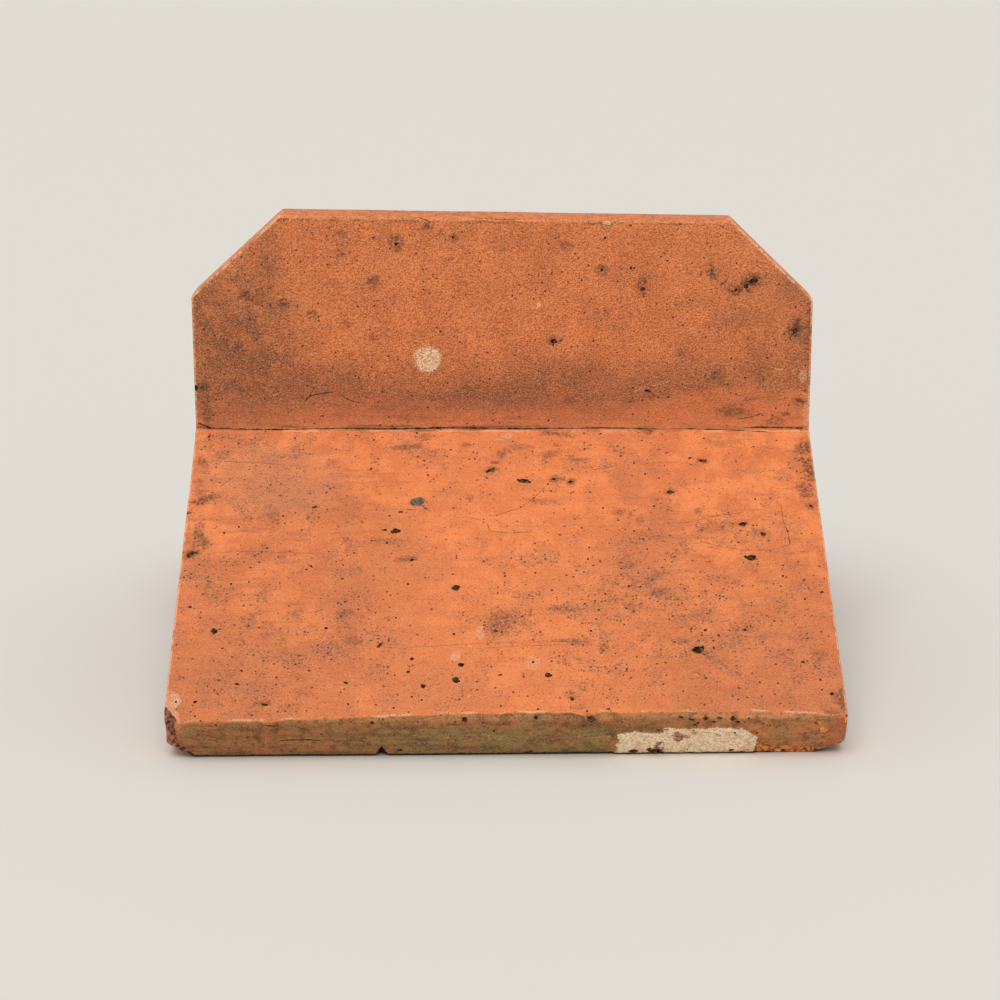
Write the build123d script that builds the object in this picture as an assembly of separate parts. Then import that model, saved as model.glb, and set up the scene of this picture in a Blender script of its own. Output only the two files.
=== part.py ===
from build123d import *
from math import cos, radians, sin, tan
import os

# Crested ridge tile of fired clay, made and fired as one piece.
# X runs along the ridge, Y across it and Z up. The tile stands on its two feet, and the
# origin is on the ground under its middle. All lengths are in millimetres.

# Wings: the two sloping slabs that cover the top course of each roof slope
length = 305.0
ridge_angle = 120.0  # between the wings, measured underneath
wing_width = 188.0  # outer face, from the crest's root down to the foot
wing_thickness = 25.0
hollow_radius = 20.0  # inside bend, under the apex

# Crest: the plain upright slab on the apex, its two top corners cut off with a wire
crest_thickness = 24.0
crest_height = 105.0  # above its root, at the middle of the tile
crest_fall = 2.0  # how much lower the hand-cut top edge is at its right end
clip_run_left = 44.0  # along the crest
clip_drop_left = 40.0  # down its end
clip_run_right = 40.0
clip_drop_right = 38.5

# Worn arrises, all round
arris_round = 1.5

# Damage on the front foot: a broken corner, a worn corner and a nick in the standing edge
broken_run = 13.0  # along the standing edge
broken_rise = 11.0  # up the foot face
broken_depth = 9.0  # back under the wing
worn_run = 15.0
worn_rise = 9.0
worn_depth = 6.0
nick_place = -56.0  # from the middle of the tile
nick_width = 6.0
nick_height = 8.0
nick_depth = 5.0

slope = radians(90 - ridge_angle / 2)
half_length = length / 2
half_crest = crest_thickness / 2

# A rounded standing edge lifts the sharp corner that it replaces off the ground
foot_z = -arris_round * (sin(slope) + cos(slope) - 1)
root_z = foot_z + wing_thickness * cos(slope) + wing_width * sin(slope)
reach = half_crest + wing_width * cos(slope)

down_front = Vector(0, -cos(slope), -sin(slope))  # down the front wing
out_front = Vector(0, -sin(slope), cos(slope))  # square off its outer face
foot_top = Vector(0, -reach, root_z - wing_width * sin(slope))
standing_edge = foot_top - out_front * wing_thickness
hollow_z = foot_z - standing_edge.Y * tan(slope)


def section():
    """Outline across the ridge: both wings, the hollow under them and the full crest."""
    front = [
        (-half_crest, root_z + crest_height + crest_fall),
        (-half_crest, root_z),
        (foot_top.Y, foot_top.Z),
        (standing_edge.Y, standing_edge.Z),
    ]
    back = [(-y, z) for y, z in reversed(front)]
    outline = make_face(Polyline(*front, (0, hollow_z), *back, close=True))
    apex = outline.vertices().sort_by_distance((0, hollow_z, 0))[0]
    return Plane.YZ * fillet(apex, hollow_radius)


def elevation():
    """Outline seen from the front: square ends, and a crest with clipped corners."""
    top_left = root_z + crest_height + crest_fall / 2
    top_right = top_left - crest_fall
    ground = foot_z - wing_thickness
    outline = Polyline(
        (-half_length, ground),
        (-half_length, top_left - clip_drop_left),
        (-half_length + clip_run_left, top_left),
        (half_length - clip_run_right, top_right),
        (half_length, top_right - clip_drop_right),
        (half_length, ground),
        close=True,
    )
    return Plane.XZ * make_face(outline)


def blank():
    """The tile as cut, before wear: the section run along the ridge, trimmed to its ends."""
    run = extrude(section(), amount=length, both=True)
    trim = extrude(elevation(), amount=2 * reach, both=True)
    return run & trim


def soften(tile):
    """Rounds every arris but the crease at the crest's root and the bend of the hollow."""
    def is_crease(edge):
        middle = edge.center()
        on_root = abs(abs(middle.Y) - half_crest) < 0.01 and abs(middle.Z - root_z) < 0.01
        in_hollow = abs(middle.X) < half_length - 0.01 and abs(middle.Y) < hollow_radius
        return on_root or (in_hollow and middle.Z < root_z)

    arrises = [edge for edge in tile.edges() if not is_crease(edge)]
    return fillet(arrises, arris_round)


def break_corner(tile, side, run, rise, depth):
    """Takes one end corner off the front foot's standing edge, along a flat break."""
    corner = Vector(side * half_length, standing_edge.Y, standing_edge.Z)
    along = corner - Vector(side * run, 0, 0)
    up = corner + out_front * rise
    under = corner - down_front * depth
    outward = (under - along).cross(up - along) * side
    face = Plane(origin=along, x_dir=up - along, z_dir=outward)
    return split(tile, bisect_by=face, keep=Keep.BOTTOM)


def nick():
    """A three-cornered nick, widest at the standing edge."""
    foot_face = Plane(origin=standing_edge, x_dir=(1, 0, 0), z_dir=down_front)
    mouth = nick_width / 2
    shape = Polyline(
        (nick_place - mouth, -arris_round),
        (nick_place + mouth, -arris_round),
        (nick_place, nick_height),
        close=True,
    )
    return extrude(foot_face * make_face(shape), amount=-nick_depth, both=False)


tile = soften(blank())
tile = break_corner(tile, -1, broken_run, broken_rise, broken_depth)
tile = break_corner(tile, 1, worn_run, worn_rise, worn_depth)
tile = tile - nick()

os.makedirs("parts", exist_ok=True)
export_step(tile, "parts/ridge_tile.step")
box = tile.bounding_box()
print("size", box.size, "lowest", round(box.min.Z, 3), "volume", round(tile.volume))
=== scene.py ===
import bmesh
import bpy
from math import cos, pi, radians, sin
from random import Random
from mathutils import Matrix, Vector
from mathutils.bvhtree import BVHTree


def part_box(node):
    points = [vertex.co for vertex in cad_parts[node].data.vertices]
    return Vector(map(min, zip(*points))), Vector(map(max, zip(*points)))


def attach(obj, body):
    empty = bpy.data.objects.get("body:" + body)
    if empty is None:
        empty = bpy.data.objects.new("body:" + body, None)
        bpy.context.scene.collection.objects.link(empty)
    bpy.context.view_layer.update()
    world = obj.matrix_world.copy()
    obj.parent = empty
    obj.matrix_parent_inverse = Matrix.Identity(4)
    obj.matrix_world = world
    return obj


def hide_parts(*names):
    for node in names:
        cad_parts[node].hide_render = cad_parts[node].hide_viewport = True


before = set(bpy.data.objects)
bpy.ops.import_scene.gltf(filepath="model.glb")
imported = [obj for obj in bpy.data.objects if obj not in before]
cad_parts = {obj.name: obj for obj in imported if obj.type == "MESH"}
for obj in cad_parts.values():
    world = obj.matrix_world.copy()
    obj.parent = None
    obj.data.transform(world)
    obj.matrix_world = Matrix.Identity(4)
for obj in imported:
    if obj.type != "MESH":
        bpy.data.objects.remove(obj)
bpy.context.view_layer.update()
mm = 0.001
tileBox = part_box("ridge_tile")
print("frame loaded")

# The tile's section and outline in millimetres. The ends and the height come from the frame.
form = {
    "halfLength": tileBox[1].x / mm,
    "halfCrest": 12.0,
    "rootZ": 115.1,
    "topZ": tileBox[1].z / mm - 1.0,
    "topFall": 1.0,               # how much higher the crest's left corner is, and how much lower its right
    "slope": 30.0,
    "wingWidth": 188.0,
    "thickness": 25.0,
    "hollowZ": 93.2,
    "clipLeft": (44.0, 40.0),     # run along the crest, drop down its end
    "clipRight": (40.0, 38.5),
    "nickX": -56.0,
    "leftLift": 0.75,             # the hand-cut left end stands this much higher at the crease
    "leftReach": 1.6,             # and its feet this much further out; the right end as much less
    "leftReachDown": 1.84,        # that reach measured down the wing
}
frontSide = (0.0, -1.0)           # across the ridge, where the front begins
down = Vector((0, -cos(radians(form["slope"])), -sin(radians(form["slope"]))))
out = Vector((0, -sin(radians(form["slope"])), cos(radians(form["slope"]))))
crease = Vector((0, -form["halfCrest"], form["rootZ"]))
footTop = crease + down * form["wingWidth"]
standing = footTop - out * form["thickness"]


# Short ways to build node trees

def setSocket(tree, socket, value):
    if isinstance(value, bpy.types.NodeSocket):
        tree.links.new(value, socket)
    else:
        socket.default_value = value


def newGeometryTree(name, inputs):
    # a tree with a named input for each value
    tree = bpy.data.node_groups.new(name, "GeometryNodeTree")
    tree.interface.new_socket("Geometry", in_out="INPUT", socket_type="NodeSocketGeometry")
    for label, value in inputs.items():
        kind = "NodeSocketInt" if isinstance(value, int) else "NodeSocketFloat"
        if isinstance(value, bpy.types.Object):
            kind = "NodeSocketObject"
        elif isinstance(value, bpy.types.Material):
            kind = "NodeSocketMaterial"
        tree.interface.new_socket(label, in_out="INPUT", socket_type=kind)
    tree.interface.new_socket("Geometry", in_out="OUTPUT", socket_type="NodeSocketGeometry")
    return Bench(tree, inputs)


class Bench:
    def __init__(self, tree, inputs=None):
        self.tree = tree
        self.inputs = inputs or {}

    def put(self, kind, inputs=None, **settings):
        node = self.tree.nodes.new(kind)
        for name, value in settings.items():
            setattr(node, name, value)
        for key, value in (inputs or {}).items():
            setSocket(self.tree, node.inputs[key], value)
        return node

    def math(self, operation, *values):
        node = self.put("ShaderNodeMath", operation=operation)
        for socket, value in zip(node.inputs, values):
            setSocket(self.tree, socket, value)
        return node.outputs[0]

    def times(self, total, *others):
        for value in others:
            total = self.math("MULTIPLY", total, value)
        return total

    def plus(self, first, second):
        return self.math("ADD", first, second)

    def minus(self, first, second):
        return self.math("SUBTRACT", first, second)

    def timesPlus(self, first, second, third):
        return self.math("MULTIPLY_ADD", first, second, third)

    def most(self, values):
        total = values[0]
        for value in values[1:]:
            total = self.math("MAXIMUM", total, value)
        return total

    def vector(self, operation, *values):
        node = self.put("ShaderNodeVectorMath", operation=operation)
        for socket, value in zip(node.inputs, values):
            setSocket(self.tree, socket, value)
        return node.outputs["Value" if operation in ("LENGTH", "DOT_PRODUCT") else "Vector"]

    def scaled(self, vector, factor):
        node = self.put("ShaderNodeVectorMath", {0: vector}, operation="SCALE")
        setSocket(self.tree, node.inputs["Scale"], factor)
        return node.outputs["Vector"]

    def split(self, vector):
        node = self.put("ShaderNodeSeparateXYZ", {0: vector})
        return node.outputs[0], node.outputs[1], node.outputs[2]

    def join(self, x, y, z):
        return self.put("ShaderNodeCombineXYZ", {0: x, 1: y, 2: z}).outputs[0]

    def texture(self, place, size, detail, rough):
        # size is the width of one blotch, in the units of place
        scale = self.math("DIVIDE", 0.5, size) if isinstance(size, bpy.types.NodeSocket) else 0.5 / size
        return self.put("ShaderNodeTexNoise", {"Vector": place, "Scale": scale, "Detail": detail,
                                               "Roughness": rough})

    def noise(self, place, size, detail=2.0, rough=0.5, seed=0.0):
        shifted = self.vector("ADD", place, (seed * 71.3, seed * -37.7, seed * 53.9))
        return self.texture(shifted, size, detail, rough).outputs[0]

    def stray(self, place, size, detail=2.0, rough=0.5):
        # a push of up to half a unit to any side
        shade = self.texture(place, size, detail, rough).outputs["Color"]
        return self.vector("SUBTRACT", shade, (0.5, 0.5, 0.5))

    def band(self, value, low, high, fromValue=0.0, toValue=1.0):
        node = self.put("ShaderNodeMapRange", {0: value, 1: low, 2: high, 3: fromValue, 4: toValue},
                        interpolation_type="SMOOTHSTEP")
        return node.outputs[0]

    def mix(self, amount, first, second):
        return self.put("ShaderNodeMix", {0: amount, 6: first, 7: second}, data_type="RGBA").outputs[2]

    def stored(self, name, output="Fac"):
        # for a material: a value that the mesh keeps
        return self.put("ShaderNodeAttribute", attribute_name=name).outputs[output]

    def named(self, name, kind):
        # for a shape: a value that the mesh keeps
        return self.put("GeometryNodeInputNamedAttribute", {"Name": name}, data_type=kind).outputs[0]

    def position(self):
        return self.put("GeometryNodeInputPosition").outputs[0]

    def shapeOf(self, thing):
        return self.put("GeometryNodeObjectInfo", {"Object": thing}).outputs["Geometry"]

    def ball(self, facets):
        return self.put("GeometryNodeMeshIcoSphere", {"Radius": 1.0, "Subdivisions": facets}).outputs["Mesh"]

    def realized(self, geometry):
        return self.put("GeometryNodeRealizeInstances", {0: geometry}).outputs[0]

    def moved(self, geometry, offset):
        return self.put("GeometryNodeSetPosition", {"Geometry": geometry, "Offset": offset}).outputs[0]

    def keep(self, geometry, name, value, kind):
        inputs = {"Geometry": geometry, "Name": name, "Value": value}
        return self.put("GeometryNodeStoreNamedAttribute", inputs, data_type=kind).outputs[0]

    def start(self):
        return self.put("NodeGroupInput").outputs

    def finish(self, geometry, material, keepOthers=False):
        painted = self.put("GeometryNodeSetMaterial", {"Geometry": self.realized(geometry),
                                                       "Material": material})
        if keepOthers:
            own = self.put("GeometryNodeMaterialSelection", {"Material": material}).outputs[0]
            setSocket(self.tree, painted.inputs["Selection"], own)
        self.put("NodeGroupOutput", {0: painted.outputs[0]})


def colour(red, green, blue):
    # a colour as a screen shows it, 0 to 255, made linear
    linear = [((v / 255 + 0.055) / 1.055) ** 2.4 if v > 10 else v / 255 / 12.92 for v in (red, green, blue)]
    return (*linear, 1.0)


def runTree(thing, bench):
    # adds the tree, sets its inputs by their identifiers, and keeps the result as a plain mesh
    modifier = thing.modifiers.new(bench.tree.name, "NODES")
    modifier.node_group = bench.tree
    for item in bench.tree.interface.items_tree:
        if item.in_out == "INPUT" and item.name in bench.inputs:
            modifier[item.identifier] = bench.inputs[item.name]
    return keepResult(thing)


def keepResult(thing):
    bpy.context.view_layer.update()
    graph = bpy.context.evaluated_depsgraph_get()
    mesh = bpy.data.meshes.new_from_object(thing.evaluated_get(graph))
    thing.modifiers.clear()
    old = thing.data
    thing.data = mesh
    bpy.data.meshes.remove(old)
    return thing


def meshObject(name, points, edges=(), faces=()):
    mesh = bpy.data.meshes.new(name)
    mesh.from_pydata([tuple(p) for p in points], list(edges), list(faces))
    thing = bpy.data.objects.new(name, mesh)
    bpy.context.scene.collection.objects.link(thing)
    return thing


# The camera, at the photograph's place and angle. Lengths in millimetres, angles in degrees

cameraSetup = {
    "place": (-9.1, -1221.4, 402.6),
    "pitchDown": 15.0,
    "turn": 0.36,
    "roll": -0.16,
    "lens": 90.0,
    "sensor": 36.0,
    "picture": 1000,      # pixels across
}


def makeCamera(setup):
    turn, pitch, roll = radians(setup["turn"]), radians(setup["pitchDown"]), radians(setup["roll"])
    forward = Vector((sin(turn) * cos(pitch), cos(turn) * cos(pitch), -sin(pitch)))
    right = Vector((cos(turn), -sin(turn), 0))
    up = right.cross(forward)
    across = right * cos(roll) + up * sin(roll)
    upright = up * cos(roll) - right * sin(roll)
    data = bpy.data.cameras.new("photoCamera")
    data.lens = setup["lens"]
    data.sensor_width = setup["sensor"]
    data.clip_end = 100
    camera = bpy.data.objects.new("photoCamera", data)
    turned = Matrix((across, upright, -forward)).transposed().to_4x4()
    camera.matrix_world = Matrix.Translation(Vector(setup["place"]) * mm) @ turned
    bpy.context.scene.collection.objects.link(camera)
    bpy.context.scene.camera = camera
    return camera


def pixelRay(px, py):
    # the line of sight through a pixel of the photograph
    half = cameraSetup["picture"] / 2
    reach = cameraSetup["picture"] * cameraSetup["lens"] / cameraSetup["sensor"]
    turned = camera.matrix_world.to_3x3()
    sight = turned @ Vector(((px - half) / reach, (half - py) / reach, -1))
    return camera.matrix_world.translation.copy(), sight.normalized()


camera = makeCamera(cameraSetup)


# Floor and light

stageSetup = {
    "floorSize": 60.0,
    "floorColour": colour(226, 222, 214),
    "skyStrength": 0.52,
    "sunStrength": 1.75,
    "sunAngle": 45.0,
    "sunFrom": (-0.10, -0.62, 1.0),
}


def makeStage(setup):
    half = setup["floorSize"] / 2
    corners = [(-half, -half, 0), (half, -half, 0), (half, half, 0), (-half, half, 0)]
    floor = meshObject("floor", corners, faces=[(0, 1, 2, 3)])
    material = bpy.data.materials.new("paleFloor")
    material.use_nodes = True
    shader = material.node_tree.nodes["Principled BSDF"]
    shader.inputs["Base Color"].default_value = setup["floorColour"]
    shader.inputs["Roughness"].default_value = 0.9
    shader.inputs["Specular IOR Level"].default_value = 0.2
    floor.data.materials.append(material)

    world = bpy.data.worlds.new("softSky")
    world.use_nodes = True
    background = world.node_tree.nodes["Background"]
    background.inputs["Color"].default_value = (1.0, 1.0, 1.0, 1.0)
    background.inputs["Strength"].default_value = setup["skyStrength"]
    bpy.context.scene.world = world

    light = bpy.data.lights.new("softKey", "SUN")
    light.energy = setup["sunStrength"]
    light.angle = radians(setup["sunAngle"])
    lamp = bpy.data.objects.new("softKey", light)
    lamp.rotation_euler = Vector(setup["sunFrom"]).to_track_quat("Z", "Y").to_euler()
    bpy.context.scene.collection.objects.link(lamp)
    bpy.context.scene.view_settings.view_transform = "Standard"


makeStage(stageSetup)
print("camera, floor and light ready")


# Places on the tile that both the shape and the finish use, worked out in node form

def tilePlaces(bench, position):
    # position in metres; everything that comes back is in millimetres
    place = bench.scaled(position, 1 / mm)
    x, y, z = bench.split(place)
    lean = bench.times(x, -1 / form["halfLength"])
    root = bench.timesPlus(lean, form["leftLift"], form["rootZ"])
    reach = bench.timesPlus(lean, form["leftReachDown"], form["wingWidth"])
    outward = bench.minus(bench.math("ABSOLUTE", y), form["halfCrest"])
    above = bench.minus(z, root)
    along = bench.plus(bench.times(outward, -down.y), bench.times(above, down.z))
    lift = bench.plus(bench.times(outward, -out.y), bench.times(above, out.z))
    lifted = bench.times(bench.times(lean, z), form["leftLift"] / form["rootZ"])
    level = bench.minus(z, lifted)
    top = bench.timesPlus(lean, form["topFall"], form["topZ"])
    return {
        "place": place, "x": x, "y": y, "level": level, "above": above, "outward": outward,
        "belowTop": bench.minus(top, level),
        "along": along,       # down the wing from the crease
        "lift": lift,         # out from the wing's outer face
        "toFoot": bench.minus(along, reach),
    }


footWear = {"left": (-110.0, -30.0), "right": (150.0, 115.0), "height": 2.9,
            "dips": ((36.0, 9.0, 1.7), (-57.0, 10.0, 1.0)), "wander": 1.6}


def footEdge(bench, tile):
    # how far up the wing the worn and dirty arris over the front foot reaches
    x = tile["x"]
    worn = bench.times(bench.band(x, *footWear["left"]), bench.band(x, *footWear["right"]))
    worn = bench.times(worn, bench.band(tile["y"], *frontSide, 0.3, 1.0))
    height = bench.times(worn, footWear["height"])
    for middle, width, drop in footWear["dips"]:
        near = bench.band(bench.math("ABSOLUTE", bench.minus(x, middle)), width, 0.0, 0.0, drop)
        height = bench.minus(height, near)
    wander = bench.noise(bench.join(x, 0.0, 0.0), 5.0, 3.0, 0.6, seed=19)
    wander = bench.times(bench.minus(wander, 0.5), footWear["wander"] * 2)
    return bench.plus(height, wander)


# Where the crust is thin: along the tile, out from the wing's face, and size
thinPlaces = ((77.5, -11.5, 6.0), (67.5, -19.5, 8.5), (102.0, -12.0, 3.5), (56.0, -23.0, 4.0))
limePatch = {
    "left": 50.0, "right": 112.5, "under": 9.4, "step": 71.0, "stepHalf": 3.0, "rise": 2.7, "fall": 104.0,
    "drop": 6.0, "ragged": 9.0, "raggedTop": 7.0, "raggedSize": 3.2,
}


def limeMask(bench, tile):
    # the crust of old lime on the front foot, ragged at its edge and down to the standing edge
    patch = limePatch
    ragged = bench.minus(bench.noise(tile["place"], patch["raggedSize"], 4.0, 0.7, seed=3), 0.5)
    x = bench.plus(tile["x"], bench.times(ragged, patch["ragged"]))
    fromLeft = bench.minus(x, patch["left"])
    fromRight = bench.minus(patch["right"], x)
    step = bench.band(x, patch["step"] - patch["stepHalf"], patch["step"] + patch["stepHalf"],
                      0.0, -patch["rise"])
    fall = bench.band(x, patch["fall"], patch["right"] + 1, 0.0, patch["drop"])
    topLine = bench.plus(bench.plus(step, fall), patch["under"])
    belowTop = bench.minus(bench.times(tile["lift"], -1.0), topLine)
    belowTop = bench.plus(belowTop, bench.times(ragged, patch["raggedTop"]))
    inside = bench.math("MINIMUM", bench.math("MINIMUM", fromLeft, fromRight), belowTop)
    onFoot = bench.band(tile["toFoot"], -2.0, -1.0)
    front = bench.band(tile["y"], *frontSide)
    return bench.times(bench.band(inside, -0.3, 0.4), onFoot, front)


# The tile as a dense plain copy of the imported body

def cleanCopy(node, name):
    thing = bpy.data.objects.new(name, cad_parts[node].data.copy())
    bpy.context.scene.collection.objects.link(thing)
    thing.data.materials.clear()
    work = bmesh.new()
    work.from_mesh(thing.data)
    bmesh.ops.remove_doubles(work, verts=work.verts, dist=1e-6)
    work.to_mesh(thing.data)
    work.free()
    return thing


clayForm = {
    "voxel": 1.0,          # millimetres
    "keepTriangles": 88000,
    "broadWave": 0.55, "broadSize": 55.0,
    "handMarks": 0.30, "handSize": 14.0,
    "sandGrain": 0.16, "sandSize": 1.9,
    "creaseLip": 0.40,
    "limeCrust": 0.7,
    "wipedArris": 0.8,
}
# The box that fills the nick and is painted black as its shade: its middle from the standing edge, and its
# size
nickFill = {"outward": 5.2, "inward": 3.9, "size": (9.0, 4.2, 9.0)}


def handMadeForm(thing):
    bench = newGeometryTree("handMadeForm", {
        "Left Lift": form["leftLift"] * mm, "Left Reach": form["leftReach"] * mm,
        "Broad Wave": clayForm["broadWave"], "Broad Size": clayForm["broadSize"],
        "Hand Marks": clayForm["handMarks"], "Hand Size": clayForm["handSize"],
        "Sand Grain": clayForm["sandGrain"], "Sand Size": clayForm["sandSize"],
        "Crease Lip": clayForm["creaseLip"], "Lime Crust": clayForm["limeCrust"],
        "Wiped Arris": clayForm["wipedArris"], "Clay": clay})
    given = bench.start()

    # the left end a little larger than the right one
    x, y, z = bench.split(bench.position())
    lean = bench.times(x, -1 / (form["halfLength"] * mm))
    height = bench.times(z, 1 / (form["rootZ"] * mm))
    reach = bench.times(y, -1 / (footTop.y * mm))
    offset = bench.join(0.0, bench.times(lean, reach, given["Left Reach"]),
                        bench.times(lean, height, given["Left Lift"]))
    skewed = bench.moved(given["Geometry"], offset)

    # waves, hand marks and sand, all along the surface normal
    normal = bench.put("GeometryNodeInputNormal").outputs[0]
    tile = tilePlaces(bench, bench.position())
    place = tile["place"]

    def swell(size, amount, detail, rough, seed):
        return bench.times(bench.minus(bench.noise(place, size, detail, rough, seed), 0.5), amount)

    broad = swell(given["Broad Size"], given["Broad Wave"], 1.0, 0.5, 1)
    marks = swell(given["Hand Size"], given["Hand Marks"], 3.0, 0.55, 2)
    grain = swell(given["Sand Size"], given["Sand Grain"], 2.0, 0.6, 4)
    sandy = bench.band(tile["above"], -2.0, 4.0, 0.45, 1.0)   # the crest is sandier than the wings
    rough = bench.times(grain, sandy)

    # a low lip of clay pressed over the joint below the crest
    lip = bench.times(bench.band(tile["along"], 0.2, 1.3), bench.band(tile["along"], 4.5, 1.6))
    lip = bench.times(lip, bench.band(tile["lift"], -3.0, -1.0))
    uneven = bench.noise(place, 9.0, 3.0, 0.6, seed=5)
    lip = bench.times(lip, uneven, given["Crease Lip"])

    crust = bench.times(limeMask(bench, tile), given["Lime Crust"])
    crumbs = bench.noise(place, 1.6, 3.0, 0.6, seed=6)
    crust = bench.times(crust, bench.timesPlus(crumbs, 1.0, 0.3))

    # the arris over the foot was wiped by hand, more in some places than in others
    arris = bench.vector("LENGTH", bench.join(0.0, tile["toFoot"], tile["lift"]))
    wiped = bench.noise(bench.vector("MULTIPLY", place, (1.0, 0.0, 0.0)), 13.0, 3.0, 0.5, seed=9)
    wiped = bench.times(bench.band(arris, 6.0, 0.5), bench.band(wiped, 0.35, 0.7))
    lip = bench.minus(lip, bench.times(wiped, given["Wiped Arris"]))

    total = bench.plus(bench.plus(broad, marks), bench.plus(rough, lip))
    total = bench.times(bench.plus(total, crust), mm)
    moved = bench.moved(skewed, bench.scaled(normal, total))

    # nothing goes below the floor
    bottom = bench.math("MINIMUM", bench.split(bench.position())[2], 0.0)
    stood = bench.moved(moved, bench.join(0.0, 0.0, bench.times(bottom, -1.0)))
    bench.finish(stood, given["Clay"])
    return runTree(thing, bench)


def shapeTile(tile):
    remesh = tile.modifiers.new("voxels", "REMESH")
    remesh.mode = "VOXEL"
    remesh.voxel_size = clayForm["voxel"] * mm
    keepResult(tile)
    print("remeshed:", len(tile.data.polygons), "faces")
    handMadeForm(tile)
    triangles = 2 * len(tile.data.polygons)
    thin = tile.modifiers.new("thin", "DECIMATE")
    thin.ratio = clayForm["keepTriangles"] / triangles
    keepResult(tile)
    print("thinned to", len(tile.data.polygons), "triangles")


def plainMaterial(name):
    material = bpy.data.materials.new(name)
    material.use_nodes = True
    return material


clay = plainMaterial("firedClay")
pitSoot = plainMaterial("pitSoot")
brokenClay = plainMaterial("brokenClay")
freshClay = plainMaterial("freshClay")
surfaces = [clay, pitSoot, brokenClay, freshClay]


def giveSurface(thing, surface):
    # every mesh gets all the surfaces in one order, so that a cut keeps the cutter's own
    thing.data.materials.clear()
    for each in surfaces:
        thing.data.materials.append(each)
    thing.data.polygons.foreach_set("material_index", [surfaces.index(surface)] * len(thing.data.polygons))
    return thing


def fillNick(tile):
    # all but the mouth of the nick is filled with a box, which is painted black as the nick's shade
    work = bmesh.new()
    work.from_mesh(tile.data)
    edge = Vector((form["nickX"], 0, 0)) + standing
    centre = edge + out * nickFill["outward"] - down * nickFill["inward"]
    turned = Matrix((Vector((1, 0, 0)), down, out)).transposed().to_4x4()
    size = Matrix.Diagonal((*[side * mm for side in nickFill["size"]], 1.0))
    bmesh.ops.create_cube(work, size=1.0, matrix=Matrix.Translation(centre * mm) @ turned @ size)
    work.to_mesh(tile.data)
    work.free()


ridgeTile = cleanCopy("ridge_tile", "ridgeTile")
fillNick(ridgeTile)
shapeTile(ridgeTile)
giveSurface(ridgeTile, clay)


# Where a pixel of the photograph lies on the tile, and how the surface faces there

def searchTree(thing):
    corners = [vertex.co for vertex in thing.data.vertices]
    return BVHTree.FromPolygons(corners, [face.vertices for face in thing.data.polygons])


smoothTile = cleanCopy("ridge_tile", "smoothTile")
smoothTree = searchTree(smoothTile)
roughTree = searchTree(ridgeTile)


def onTile(px, py):
    start, sight = pixelRay(px, py)
    place = roughTree.ray_cast(start, sight)[0]
    if place is None:      # just past the edge, so the nearest point of the tile
        place = roughTree.find_nearest(start + sight * start.length)[0]
    return place, smoothTree.find_nearest(place)[1]


def surfaceTurn(normal, turn):
    # x lies level along the surface, z points out of it, and then x turns by some degrees towards up
    level = Vector((1, 0, 0)) if abs(normal.x) < 0.9 else Vector((0, 1, 0))
    upward = normal.cross(level).normalized()
    level = upward.cross(normal)
    base = Matrix((level, upward, normal)).transposed()
    return base @ Matrix.Rotation(radians(turn), 3, "Z")


# Pits, cut where the photograph shows them: pixel, length and width in millimetres, turn in degrees

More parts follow.
